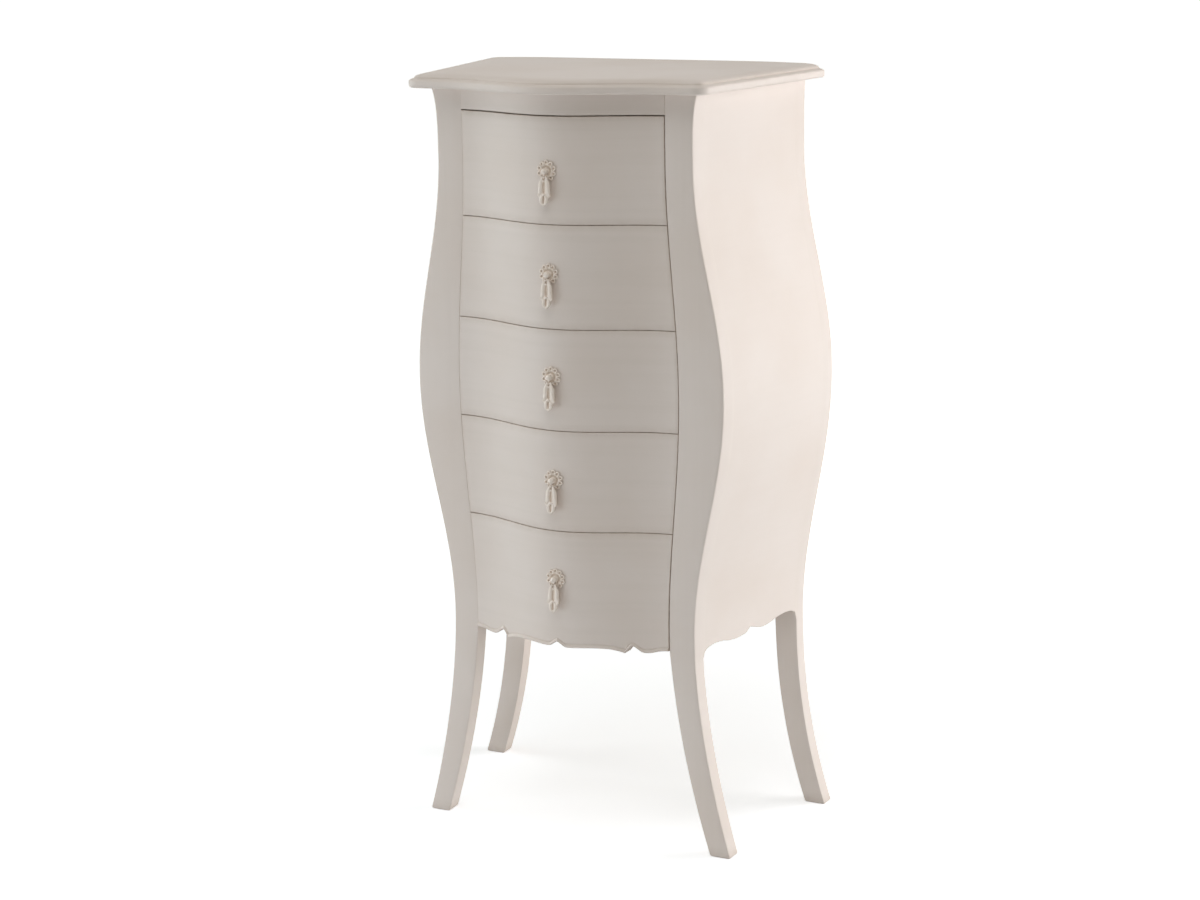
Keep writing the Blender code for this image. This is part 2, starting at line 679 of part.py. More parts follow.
def drop(name, pivot):
    """The hanging drop: two ears on the pivot pin, two strands round a slot, and a leaf-shaped end."""
    ear_inner = TONGUE_WIDTH / 2 + SEAT
    ear_top = PIVOT_HOLE_RADIUS + PIVOT_PIN_RADIUS
    slot_bottom = -(PIVOT_HOLE_RADIUS + PIVOT_PIN_RADIUS + TONGUE_DEPTH / 2)
    tip = -DROP_LENGTH
    strand = [(DROP_EAR_OUTER, ear_top), (DROP_EAR_OUTER, slot_bottom), (0.62 * DROP_HALF_WIDTH, 0.13 * tip),
              (0.80 * DROP_HALF_WIDTH, 0.24 * tip), (0.80 * DROP_HALF_WIDTH, 0.40 * tip),
              (0.90 * DROP_HALF_WIDTH, 0.51 * tip), (DROP_HALF_WIDTH, 0.60 * tip),
              (0.74 * DROP_HALF_WIDTH, 0.645 * tip), (0.50 * DROP_HALF_WIDTH, 0.68 * tip),
              (0.56 * DROP_HALF_WIDTH, 0.78 * tip), (0.40 * DROP_HALF_WIDTH, 0.91 * tip), (0.0, tip)]
    right = [(ear_inner, slot_bottom), (ear_inner, ear_top)] + strand
    left = [(-x, z) for x, z in reversed(right[:-1])]
    slot = [(0.0, 0.20 * tip), (0.10 * DROP_HALF_WIDTH, 0.25 * tip), (0.12 * DROP_HALF_WIDTH, 0.42 * tip),
            (0.0, 0.54 * tip), (-0.12 * DROP_HALF_WIDTH, 0.42 * tip), (-0.10 * DROP_HALF_WIDTH, 0.25 * tip)]
    eyes = [circle(side * 0.50 * DROP_HALF_WIDTH, 0.56 * tip, 0.12 * DROP_HALF_WIDTH, 6) for side in (-1, 1)]
    place = Matrix.Translation(pivot) @ UPRIGHT_X
    piece = cut_outline(name, [right + left, slot, *eyes], DROP_THICKNESS, place, PULL_METAL)
    across = Vector(((DROP_EAR_OUTER + ear_inner) / 2, 0, 0))
    pin = rod(name + "_pin", pivot - across, pivot + across, PIVOT_PIN_RADIUS, PIN_SIDES, None, CUTTERS)
    combine(piece, "UNION", [pin])
    return piece


def drawer(number, bottom, top, pull_drop):
    box_bottom = top - BOX_TOP_DROP - BOX_HEIGHT
    rear = INNER_BACK_Y - DRAWER_STOP_GAP
    pull_z = top + DRAWER_GAP / 2 - pull_drop
    slide = bpy.data.objects.new(f"drawer_{number}_slide", None)
    slide.location = (0, FRONT_Y, box_bottom)
    CHEST.objects.link(slide)
    pieces = [
        drawer_front(number, bottom, top, box_bottom, pull_z),
        drawer_side(f"drawer_{number}_side_left", -1, box_bottom, rear),
        drawer_side(f"drawer_{number}_side_right", 1, box_bottom, rear),
        drawer_back(f"drawer_{number}_back", box_bottom, rear),
        drawer_bottom(f"drawer_{number}_bottom", box_bottom, rear),
    ]
    centre = Vector((0, FRONT_Y - BOW, pull_z))
    pull_post, pivot = post(f"pull_{number}_post", centre)
    pull_drop_piece = drop(f"pull_{number}_drop", pivot)
    move_origin(pull_drop_piece, pivot)
    pieces += [rosette(f"pull_{number}_rosette", centre), pull_post, pull_drop_piece]
    for piece in pieces:
        hang_on(piece, slide)
    for label, side in (("left", -1), ("right", 1)):
        runner(f"runner_{number}_{label}", side, box_bottom)


carcass()
for index, (low_z, high_z) in enumerate(drawer_levels()):
    drawer(index + 1, low_z, high_z, PULL_DROPS[index])
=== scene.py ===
"""A tall bombé chest of five bowed drawers in cream paint, dressed to match its photograph.

Metres, +Z up, and the chest faces -Y. Its painted joinery, mouldings and cast pulls are made here on the
packed carcass, drawers and runners.
"""

import json
import math

import bmesh
import bpy
from mathutils import Matrix, Vector


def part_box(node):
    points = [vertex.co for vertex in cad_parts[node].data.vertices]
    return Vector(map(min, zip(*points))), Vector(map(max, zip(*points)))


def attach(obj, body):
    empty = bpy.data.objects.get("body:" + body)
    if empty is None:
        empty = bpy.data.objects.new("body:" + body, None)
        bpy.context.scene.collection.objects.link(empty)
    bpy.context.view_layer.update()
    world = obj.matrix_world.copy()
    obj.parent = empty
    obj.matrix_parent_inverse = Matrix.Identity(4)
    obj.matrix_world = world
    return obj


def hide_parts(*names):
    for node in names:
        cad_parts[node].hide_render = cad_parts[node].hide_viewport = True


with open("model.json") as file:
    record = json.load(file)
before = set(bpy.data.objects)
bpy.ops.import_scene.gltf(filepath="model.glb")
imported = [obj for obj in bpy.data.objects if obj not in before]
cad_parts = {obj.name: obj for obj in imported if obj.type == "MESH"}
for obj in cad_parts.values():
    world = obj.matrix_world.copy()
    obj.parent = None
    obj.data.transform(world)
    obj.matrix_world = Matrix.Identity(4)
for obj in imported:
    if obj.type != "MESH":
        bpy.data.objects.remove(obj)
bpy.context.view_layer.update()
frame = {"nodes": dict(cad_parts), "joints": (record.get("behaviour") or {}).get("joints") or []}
scene = bpy.context.scene

# Sizes that the carcass was drawn from: pairs are for its front edge and its back edge, and the three of
# the openings are for the low waist, the belly and the high waist
CARCASS_DEPTH = 0.2765
BOW = 0.045
BOW_HALF_SPAN = 0.173
BOW_SHARPNESS = 1.1
FOOT_HALF = (0.2450, 0.2905)
LOW_WAIST_HALF = (0.1923, 0.2452)
BELLY_HALF = (0.2393, 0.2900)
HIGH_WAIST_HALF = (0.1963, 0.2464)
CROWN_HALF = (0.2043, 0.2484)
LOW_WAIST_Z = (0.320, 0.290)
BELLY_Z = 0.662
HIGH_WAIST_Z = 0.987
LEG_SPLAY_POWER = (1.75, 2.10)
CROWN_POWER = 4.0
OPENING_HALF = (0.1543, 0.1727, 0.1563)
FRONT_FOOT_WIDTH = 0.0315
BACK_FOOT_WIDTH = 0.0325
BACK_POST_WIDTH = 0.0355
TOP_FRONT_OVERHANG = 0.032
TOP_SIDE_OVERHANG = 0.0275
TOP_CORNER_RADIUS = 0.022
APRON_Z = 0.2985
FRONT_THICKNESS = 0.018
SIDE_THICKNESS = 0.016

# The drawers from the top down; the last has the cut apron
DRAWERS = range(1, 6)

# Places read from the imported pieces
FRONT_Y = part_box("leg_front_right")[0].y
INNER_FRONT_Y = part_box("leg_front_right")[1].y
INNER_BACK_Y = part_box("leg_back_right")[0].y
BACK_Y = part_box("leg_back_right")[1].y
BOARD_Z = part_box("top_board")[0].z
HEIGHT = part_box("top_board")[1].z
RAIL_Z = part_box("top_rail")[0].z

# The lines round the fronts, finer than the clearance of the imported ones, and the joint under the board
LINE_CLOSED = 0.00082
RAIL_LINE_CLOSED = 0.0001
SIDE_GAP = 0.0006
SIT_LEFT = 0.00035
UNDER_BOARD_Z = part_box("leg_front_right")[1].z + 0.0003

# Softened edges
ARRIS = 0.0007
ARRIS_STEPS = 3
EDGE_ROUND = 0.0016
EDGE_SHARE = 0.1
FIRST_ROW_RISE = 0.0006
LEG_ARRIS = 0.0026
INNER_ARRIS_SHARE = 0.6
PANEL_ARRIS_SHARE = 0.5
LEG_SQUARE_BELOW = 0.014
LEG_SQUARENESS = 0.7
LEG_FREE_BELOW = 0.045
LEG_FREE_RUN = 0.040
RAIL_BUTT = 0.001
FOOT_ROUND = 0.0034
FOOT_DRAWN_IN = 0.8

# Cut edges, in runs of (share of the half width, height over the apron line) that meet at a point
FRONT_SCALLOP = (
    ((0.00, 0.0080), (0.04, 0.0045), (0.09, 0.0004), (0.22, 0.0008), (0.36, 0.0012), (0.50, -0.0006),
     (0.61, -0.0055)),
    ((0.61, -0.0055), (0.675, 0.0045), (0.76, -0.0040), (0.84, -0.0045), (0.92, -0.0015), (1.02, 0.0000)),
)
SIDE_SCALLOP = (
    ((-1.02, -0.0055), (-0.97, -0.0014), (-0.90, 0.0012), (-0.76, 0.0024), (-0.60, 0.0010),
     (-0.48, -0.0022), (-0.32, -0.0042), (-0.18, -0.0036), (-0.10, -0.0024), (-0.05, 0.0006), (0.00, 0.0041)),
    ((0.00, 0.0041), (0.06, 0.0020), (0.12, -0.0002), (0.18, -0.0022), (0.26, -0.0038), (0.34, -0.0041),
     (0.48, -0.0022), (0.60, 0.0010), (0.76, 0.0024), (0.90, 0.0012), (0.97, -0.0014), (1.02, -0.0055)),
)

# The apron's bead, as (height over the cut, depth behind the face)
BEAD = (
    (0.0000, 0.0012), (0.0001, 0.0002), (0.0003, -0.0008), (0.0007, -0.0016), (0.0013, -0.0022),
    (0.0020, -0.0025), (0.0027, -0.0023), (0.0034, -0.0017), (0.0041, -0.0010), (0.0048, -0.0003),
    (0.0053, 0.0002), (0.0058, 0.0004), (0.0067, 0.0000),
)

# The board's edge, as (inset, rise): its rounded lip and its ovolo, with the quirk between them
LIP = (
    (0.0050, 0.0000), (0.0016, 0.0009), (0.0003, 0.0028), (0.0000, 0.0052), (0.0000, 0.0080),
    (0.0004, 0.0098), (0.0016, 0.0110), (0.0034, 0.0119), (0.0052, 0.0126), (0.0070, 0.0130), (0.0076, 0.0131),
)
OVOLO = (
    (0.0078, 0.0137), (0.0084, 0.0148), (0.0098, 0.0160), (0.0122, 0.0172), (0.0155, 0.0182),
    (0.0200, 0.0190), (0.0250, 0.0195), (0.0300, 0.0198),
)

# The board's slight crown, as (share of its outline, share of the rise that is left)
TOP_CROWN = ((0.95, 0.22), (0.88, 0.50), (0.80, 0.76), (0.72, 0.93), (0.64, 1.0))

# Brown that the paint takes: rubbed glazing along edges with painted shade in the gaps between boards, painted
# shade in the quirks, and darker towards the floor at the feet; how far in from an edge, or each way from a
# quirk, and how much
RIM_WIDTH, RIM_GLAZE_AND_SHADE = 0.0016, 0.5
FOOT_HEIGHT, FOOT_DARKENING = 0.02, 0.35
SIDE_EDGE_SHARE = 0.03
APRON_QUIRK, APRON_QUIRK_HALF, APRON_QUIRK_SHADE = 0.0057, 0.0009, 0.24
TOP_QUIRK, TOP_QUIRK_HALF, TOP_QUIRK_SHADE = 0.0078, 0.0010, 0.20

# The photograph's view, and the room
CAMERA_PLACE = (1.570, -3.11445, 1.3743)
CAMERA_YAW, CAMERA_PITCH, CAMERA_ROLL = 0.4669, 0.2311, -0.0183
CAMERA_LENS = 74.3982
FLOOR_PAINT = (0.895, 0.915, 0.955, 1.0)
FLOOR_RADIUS = 30.0
WHITE = (1.0, 1.0, 1.0, 1.0)
ROOM_TINT = (1.0, 0.94, 0.70, 1.0)
ROOM_LIGHT = 0.135

# The lamps, as (name, place, aim, width and height, watts, tint)
LAMPS = (
    ("window", (2.9, 1.7, 1.05), (0.2, 0.0, 0.55), (2.2, 2.0), 78.0, (1.0, 0.965, 0.965)),
    ("left_fill", (-2.9, -0.6, 1.20), (0.0, -0.1, 0.6), (1.8, 2.2), 29.5, (0.90, 0.98, 1.0)),
    ("overhead", (0.0, -0.95, 3.2), (0.0, -0.1, 0.6), (2.4, 2.4), 24.6, (0.95, 0.97, 1.0)),
    ("high_front", (0.8, -1.7, 2.7), (0.0, -0.1, 0.7), (1.6, 1.6), 6.2, (1.0, 1.0, 1.0)),
    ("low_left", (-1.4, -1.9, 0.30), (0.0, -0.1, 0.2), (1.4, 0.5), 9.2, (0.84, 0.92, 1.0)),
    ("low_right", (2.4, 0.6, 0.30), (0.1, 0.0, 0.25), (1.4, 0.5), 8.4, (0.78, 0.94, 1.0)),
    ("floor_card", (-0.1, -1.0, 0.05), (-0.1, 0.0, 0.14), (1.6, 0.08), 0.6, (1.0, 1.0, 1.0)),
)


# Node trees

class Wire:
    """A shader socket that sums, differences and products can be written on."""

    def __init__(self, tree, socket=None):
        self.tree = tree
        self.socket = socket

    def node(self, kind, settings=None, sockets=None, out=0):
        """Adds a node: its settings first, then the values or wires of its sockets."""
        made = self.tree.nodes.new(kind)
        for name, value in (settings or {}).items():
            setattr(made, name, value)
        for name, value in (sockets or {}).items():
            if isinstance(value, Wire):
                self.tree.links.new(value.socket, made.inputs[name])
            else:
                made.inputs[name].default_value = value
        return Wire(self.tree, made.outputs[out])

    def math(self, operation, *values):
        return self.node("ShaderNodeMath", {"operation": operation}, dict(enumerate(values)))

    def __add__(self, other):
        return self.math("ADD", self, other)

    def __mul__(self, other):
        return self.math("MULTIPLY", self, other)

    def __sub__(self, other):
        return self.math("SUBTRACT", self, other)

    def __rsub__(self, other):
        return self.math("SUBTRACT", other, self)

    __radd__ = __add__
    __rmul__ = __mul__

    def ramp(self, low, high):
        """0 below the low value and 1 above the high one, smoothly between."""
        return self.node("ShaderNodeMapRange", {"interpolation_type": "SMOOTHSTEP", "clamp": True},
                         {"Value": self, "From Min": low, "From Max": high})

    def mix(self, under, over):
        """Lays one colour over another by this wire's value."""
        return self.node("ShaderNodeMix", {"data_type": "RGBA"}, {0: self, 6: under, 7: over}, 2)

    def noise(self, vector, scale, detail=2.0, roughness=0.5):
        return self.node("ShaderNodeTexNoise", None,
                         {"Vector": vector, "Scale": scale, "Detail": detail, "Roughness": roughness})

    def stretched(self, vector, scale):
        return self.node("ShaderNodeMapping", None, {"Vector": vector, "Scale": scale})

    def place(self):
        """Where a point lies on the chest, in metres."""
        return self.node("ShaderNodeTexCoord", out="Object")

    def glaze_and_shade_amount(self):
        """How much brown a point takes, from its mesh: rubbed glazing, painted shade in gaps, quirks and
        hollows, and darkening at the feet.
        """
        return self.node("ShaderNodeAttribute", {"attribute_name": "glaze_and_shade_amount"}, out="Fac")


def new_material(name):
    """A named material with its principled shader, and a wire to write its nodes on."""
    material = bpy.data.materials.new(name)
    material.use_nodes = True
    return material, material.node_tree.nodes["Principled BSDF"], Wire(material.node_tree)


def join(wire, shader, name):
    wire.tree.links.new(wire.socket, shader.inputs[name])


def emboss(height, shader, strength, distance):
    """Gives a finish its small relief."""
    join(height.node("ShaderNodeBump", None, {"Strength": strength, "Distance": distance, "Height": height}),
         shader, "Normal")


# Camera, floor and light

def place_camera():
    """The photograph's own view: a long lens, looking a little down and turned to the right side."""
    data = bpy.data.cameras.new("view")
    data.sensor_width = 36.0
    data.lens = CAMERA_LENS
    camera = bpy.data.objects.new("view", data)
    scene.collection.objects.link(camera)
    turn = (Matrix.Rotation(CAMERA_YAW, 4, "Z") @ Matrix.Rotation(math.pi / 2 - CAMERA_PITCH, 4, "X")
            @ Matrix.Rotation(CAMERA_ROLL, 4, "Z"))
    camera.matrix_world = Matrix.Translation(CAMERA_PLACE) @ turn
    scene.camera = camera


def stage_floor():
    """A pale floor that keeps the shadow and otherwise melts into the white behind it."""
    shape = bmesh.new()
    bmesh.ops.create_circle(shape, cap_ends=True, segments=96, radius=FLOOR_RADIUS)
    mesh = bpy.data.meshes.new("floor")
    shape.to_mesh(mesh)
    shape.free()
    floor = bpy.data.objects.new("floor", mesh)
    scene.collection.objects.link(floor)
    material, shader, wire = new_material("pale_floor")
    shader.inputs["Base Color"].default_value = FLOOR_PAINT
    shader.inputs["Roughness"].default_value = 0.9
    shader.inputs["Specular IOR Level"].default_value = 0.1
    shader.inputs["Emission Strength"].default_value = 1.0
    seen = wire.node("ShaderNodeLightPath", out="Is Camera Ray")
    from_chest = wire.node("ShaderNodeVectorMath", {"operation": "LENGTH"}, {0: wire.place()}, "Value")
    join(seen * (from_chest.ramp(0.4, 2.2) * 0.40 + 0.50), shader, "Emission Color")
    mesh.materials.append(material)


def light_room():
    """A soft window at the right, weaker light from the left, above and low down, and an even room."""
    for name, place, aim, size, power, tint in LAMPS:
        data = bpy.data.lights.new(name, "AREA")
        data.shape = "RECTANGLE"
        data.size, data.size_y = size
        data.energy = power
        data.color = tint
        lamp = bpy.data.objects.new(name, data)
        scene.collection.objects.link(lamp)
        lamp.location = place
        lamp.rotation_euler = (Vector(aim) - Vector(place)).to_track_quat("-Z", "Y").to_euler()
    world = bpy.data.worlds.new("room")
    scene.world = world
    world.use_nodes = True
    wire = Wire(world.node_tree)
    background = world.node_tree.nodes["Background"]
    camera, glossy, through = (wire.node("ShaderNodeLightPath", out=name)
                               for name in ("Is Camera Ray", "Is Glossy Ray", "Is Transmission Ray"))
    shown = wire.math("MAXIMUM", camera, wire.math("MAXIMUM", glossy, through))
    join(shown * (1.0 - ROOM_LIGHT) + ROOM_LIGHT, background, "Strength")
    join(shown.mix(ROOM_TINT, WHITE), background, "Color")


# Finishes

CREAM = (0.800, 0.718, 0.664, 1.0)
CREAM_WARM = (0.775, 0.684, 0.622, 1.0)
CREAM_STREAK = (0.70, 0.625, 0.555, 1.0)
# The brown of rubbed glazing, also laid in the gaps and quirks as painted shade
GLAZE_AND_SHADE = (0.330, 0.215, 0.125, 1.0)
ENAMEL = (0.90, 0.80, 0.72, 1.0)
ENAMEL_WORN = (0.87, 0.765, 0.675, 1.0)
# The brown of the pulls' hollows: glazing, and painted shade in the holes and recesses
ENAMEL_GLAZE_AND_SHADE = (0.42, 0.28, 0.145, 1.0)
ZINC_BRIGHT = (0.62, 0.62, 0.60, 1.0)
ZINC_DULL = (0.48, 0.48, 0.45, 1.0)
PINE = ((0.62, 0.45, 0.27, 1.0), (0.42, 0.26, 0.12, 1.0))
PLY = ((0.66, 0.51, 0.34, 1.0), (0.53, 0.37, 0.21, 1.0))


def cream_paint(name, brushed, streaks=0.15):
    """Satin cream paint with faint brush marks, brown along its edges from rubbed glazing, with painted shade
    in its gaps and quirks.
    """
    material, shader, wire = new_material(name)
    place = wire.place()
    strokes = wire.noise(wire.stretched(place, brushed), 1.0, 3.0, 0.62)
    cloud = wire.noise(place, 7.0, 3.0)
    broken = wire.noise(place, 90.0, 3.0).ramp(0.28, 0.72)
    colour = cloud.ramp(0.30, 0.75).mix(CREAM, CREAM_WARM)
    colour = ((1.0 - strokes.ramp(0.30, 0.60)) * streaks).mix(colour, CREAM_STREAK)
    # Brown where the mesh asks for it: rubbed glazing on edges, and painted shade in the gaps and quirks
    colour = (wire.glaze_and_shade_amount() * (broken * 0.40 + 0.45)).mix(colour, GLAZE_AND_SHADE)
    join(colour, shader, "Base Color")
    join(strokes * 0.12 + cloud * 0.08 + 0.42, shader, "Roughness")
    shader.inputs["Specular IOR Level"].default_value = 0.28
    grain = wire.noise(wire.stretched(place, tuple(4.0 * s for s in brushed)), 1.0, 2.0)
    emboss(strokes * 0.7 + grain * 0.3, shader, streaks, 0.0006)
    return material


def bare_wood(name, along, tone, figure):
    """Planed wood with growth rings and fine pores that run along one axis."""
    material, shader, wire = new_material(name)
    place = wire.place()
    light, dark = tone
    pore = tuple(c * 0.6 for c in dark[:3]) + (1.0,)
    squeeze = tuple(0.06 if axis == along else 1.0 for axis in "XYZ")
    drift = wire.noise(wire.stretched(place, squeeze), 9.0, 2.0)
    rings = wire.node("ShaderNodeTexWave", {"wave_type": "RINGS", "rings_direction": along},
                      {"Vector": wire.stretched(place, squeeze), "Scale": figure, "Distortion": drift * 9.0,
                       "Detail": 3.0, "Detail Scale": 2.0})
    pores = wire.noise(wire.stretched(place, tuple(s * 14.0 for s in squeeze)), 60.0, 2.0)
    colour = (rings * 0.55 + drift * 0.25).mix(light, dark)
    join(((1.0 - pores.ramp(0.30, 0.52)) * 0.35).mix(colour, pore), shader, "Base Color")
    join(rings * 0.10 + 0.55, shader, "Roughness")
    emboss(pores + rings * 0.4, shader, 0.25, 0.0004)
    return material


def cast_cream(name):
    """Cream enamel on cast metal, brown in the hollows and near the drawer's face: glazing left there, and
    painted shade.
    """
    material, shader, wire = new_material(name)
    place = wire.place()
    hollow = wire.glaze_and_shade_amount()
    grain = wire.noise(place, 700.0, 3.0)
    worn = wire.noise(place, 260.0, 2.0)
    colour = worn.ramp(0.35, 0.70).mix(ENAMEL, ENAMEL_WORN)
    # Brown in the hollows and by the drawer: glazing, and painted shade
    join((hollow * (worn * 0.4 + 0.45)).mix(colour, ENAMEL_GLAZE_AND_SHADE), shader, "Base Color")
    join(hollow * 0.25 + grain * 0.12 + 0.28, shader, "Roughness")
    emboss(grain + worn, shader, 0.22, 0.0003)
    return material


def zinc_steel(name):
    """Bright zinc plate, brushed dull by handling."""
    material, shader, wire = new_material(name)
    place = wire.place()
    spangle = wire.node("ShaderNodeTexVoronoi", None, {"Vector": place, "Scale": 900.0}, out="Color")
    smear = wire.noise(place, 340.0, 3.0)
    join(smear.mix(ZINC_BRIGHT, ZINC_DULL), shader, "Base Color")
    shader.inputs["Metallic"].default_value = 1.0
    tint = wire.node("ShaderNodeSeparateColor", None, {"Color": spangle})
    join(tint * 0.14 + 0.28, shader, "Roughness")
    emboss(smear, shader, 0.15, 0.0002)
    return material


PAINT_ACROSS = cream_paint("cream_paint_across", (2.2, 2.2, 95.0))
PAINT_SIDE = cream_paint("cream_paint_side", (2.2, 2.2, 95.0), 0.06)
PAINT_UPRIGHT = cream_paint("cream_paint_upright", (95.0, 95.0, 2.2), 0.10)
PAINT_TOP = cream_paint("cream_paint_top", (2.2, 95.0, 95.0))
PINE_Y = bare_wood("pine_along_depth", "Y", PINE, 26.0)
PINE_X = bare_wood("pine_along_width", "X", PINE, 26.0)
PLY_X = bare_wood("plywood_along_width", "X", PLY, 11.0)
PLY_Z = bare_wood("plywood_upright", "Z", PLY, 11.0)
PULL_CREAM = cast_cream("cast_cream")
ZINC = zinc_steel("zinc_steel")


# The chest's curves

def blend(a, b, share):
    return a + (b - a) * share


def ease(share):
    """A smooth step from 0 to 1, flat at both ends."""
    return 0.5 - 0.5 * math.cos(math.pi * share)


def clamp(value):
    return min(1.0, max(0.0, value))


def fade(distance, reach):
    """From 1 at no distance down to 0 at the reach."""
    return max(0.0, 1.0 - distance / reach)


def spread(start, end, count):
    """Evenly spaced values, with both ends."""
    return [blend(start, end, i / count) for i in range(count + 1)]


def swell(z, low, belly, high, low_z):
    if z < BELLY_Z:
        return blend(low, belly, ease(max(0.0, z - low_z) / (BELLY_Z - low_z)))
    return blend(high, belly, ease(max(0.0, HIGH_WAIST_Z - z) / (HIGH_WAIST_Z - BELLY_Z)))


def edge_half(z, edge):
    """Half width of the carcass at its front edge (0) or back edge (1)."""
    low_z = LOW_WAIST_Z[edge]
    if z < low_z:
        splay = ((low_z - z) / low_z) ** LEG_SPLAY_POWER[edge]
        return blend(LOW_WAIST_HALF[edge], FOOT_HALF[edge], splay)
    if z > HIGH_WAIST_Z:
        flare = ((z - HIGH_WAIST_Z) / (BOARD_Z - HIGH_WAIST_Z)) ** CROWN_POWER
        return blend(HIGH_WAIST_HALF[edge], CROWN_HALF[edge], flare)
    return swell(z, LOW_WAIST_HALF[edge], BELLY_HALF[edge], HIGH_WAIST_HALF[edge], low_z)


def side_half(z, y):
    return blend(edge_half(z, 0), edge_half(z, 1), (y - FRONT_Y) / CARCASS_DEPTH)


def opening_half(z):
    return swell(z, *OPENING_HALF, LOW_WAIST_Z[0])


def bow(x):
    share = min(1.0, abs(x) / BOW_HALF_SPAN)
    return -BOW * (0.5 + 0.5 * math.cos(math.pi * share)) ** BOW_SHARPNESS


def catmull_rom(ends, steps):
    """A curve from the second of its points up to the last but one, which is left out."""
    run = []
    for before, start, end, after in zip(ends, ends[1:], ends[2:], ends[3:]):
        for step in range(steps):
            t = step / steps
            run.append(0.5 * (2 * start + (end - before) * t
                              + (2 * before - 5 * start + 4 * end - after) * t ** 2
                              + (3 * start - before - 3 * end + after) * t ** 3))
    return run


def smooth_run(points, steps):
    """A curve through the points."""
    points = [Vector(p) for p in points]
    return catmull_rom([points[0], *points, points[-1]], steps) + [points[-1]]


def round_off(points):
    """A closed outline, smoothed through its points."""
    points = [Vector(p) for p in points]
    return [tuple(p) for p in catmull_rom([points[-1], *points, *points[:2]], 3)]


def scallop_points(runs, steps):
    """A cut edge through its runs, as (share from -1 to 1, height above the apron line)."""
    points = []
    for run in runs:
        points += [tuple(p) for p in smooth_run(run, steps)[:-1]]
    points.append(runs[-1][-1])
    inside = [p for p in points if abs(p[0]) < 1.0]
    before = [(-1.0, inside[0][1])] if points[0][0] < -1.0 else []
    return before + inside + [(1.0, inside[-1][1])]


def mirrored(half):
    """A cut edge from one end to the other, from its right half."""
    return [(-s, h) for s, h in reversed(half[1:])] + half


# Making pieces

def to_mesh(shape, name):
    """Turns a built shape into a mesh that faces outwards."""
    bmesh.ops.recalc_face_normals(shape, faces=shape.faces)
    if shape.calc_volume(signed=True) < 0:
        bmesh.ops.reverse_faces(shape, faces=shape.faces)
    mesh = bpy.data.meshes.new(name)
    shape.to_mesh(mesh)
    shape.free()
    return mesh


def mesh_piece(mesh, name, material, sharp):
    """Turns a mesh into a piece, shaded smooth except at its sharp edges."""
    mesh.name = name
    mesh.shade_smooth()
    mesh.set_sharp_from_angle(angle=math.radians(sharp))
    mesh.materials.clear()
    mesh.materials.append(material)
    piece = bpy.data.objects.new(name, mesh)
    scene.collection.objects.link(piece)
    return piece


def finish_piece(shape, name, material, sharp=38.0):
    """Turns a built shape into a piece."""
    return mesh_piece(to_mesh(shape, name), name, material, sharp)


def settle(piece, body, slot, *nodes):
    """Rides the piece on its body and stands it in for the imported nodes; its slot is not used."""
    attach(piece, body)
    if nodes:
        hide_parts(*nodes)


# The layer of brown each vertex takes: rubbed glazing, and painted shade
def glaze_and_shade_layer(shape):
    return shape.verts.layers.float.new("glaze_and_shade_amount")


def glaze_and_shade_loop(shape, layer, spots, glaze_and_shade):
    """A loop of vertices that take the same amount of brown, rubbed glazing and painted shade alike."""
    loop = [shape.verts.new(spot) for spot in spots]
    for vert in loop:
        vert[layer] = glaze_and_shade
    return loop


def skin(shape, loops, closed=False):
    """Joins each loop to the next, and closes the run with caps, or from the last loop to the first."""
    for lower, upper in zip(loops, loops[1:] + (loops[:1] if closed else [])):
        for i in range(len(lower)):
            j = (i + 1) % len(lower)
            shape.faces.new((lower[i], lower[j], upper[j], upper[i]))
    if not closed:
        shape.faces.new(loops[0])
        shape.faces.new(loops[-1])


def rounded_steps(length, count):
    """Steps across a board, with how far each lies behind the face where the arris is rounded."""
    angles = [math.pi / 2 * i / ARRIS_STEPS for i in range(ARRIS_STEPS)]
    start = [(ARRIS * (1 - math.cos(a)) / length, ARRIS * (1 - math.sin(a))) for a in angles]
    middle = [(along / length, 0.0) for along in spread(ARRIS, length - ARRIS, count)]
    return start + middle + [(1 - s, d) for s, d in reversed(start)]


def slab(name, columns, rows, point, inward, thickness, material, glaze_and_shade):
    """A board with a shaped face: point(u, v) is on the face, and each row and column adds its own depth."""
    shape = bmesh.new()
    layer = glaze_and_shade_layer(shape)
    last_u, last_v = len(columns) - 1, len(rows) - 1

    def sheet(offset, shaped):
        verts = []
        for i, (u, depth_u) in enumerate(columns):
            line = []
            for j, (v, depth_v) in enumerate(rows):
                depth = depth_u + depth_v if shaped else 0.0
                vert = shape.verts.new(point(u, v) + inward * (depth + offset))
                # The face takes its brown from the rule; the back is brown round its rim, as painted shade on
                # the end faces seen in the gaps
                vert[layer] = glaze_and_shade(u, v) if shaped else float(i in (0, last_u) or j in (0, last_v))
                line.append(vert)
            verts.append(line)
        return verts

    face = sheet(0.0, True)
    back = sheet(thickness, False)
    for verts in (face, back):
        for i in range(last_u):
            for j in range(last_v):
                shape.faces.new((verts[i][j], verts[i + 1][j], verts[i + 1][j + 1], verts[i][j + 1]))
    rim = [(i, 0) for i in range(last_u)] + [(last_u, j) for j in range(last_v)]
    rim += [(i, last_v) for i in range(last_u, 0, -1)] + [(0, j) for j in range(last_v, 0, -1)]
    for (i, j), (k, m) in zip(rim, rim[1:] + rim[:1]):
        shape.faces.new((face[i][j], face[k][m], back[k][m], back[i][j]))
    return finish_piece(shape, name, material)


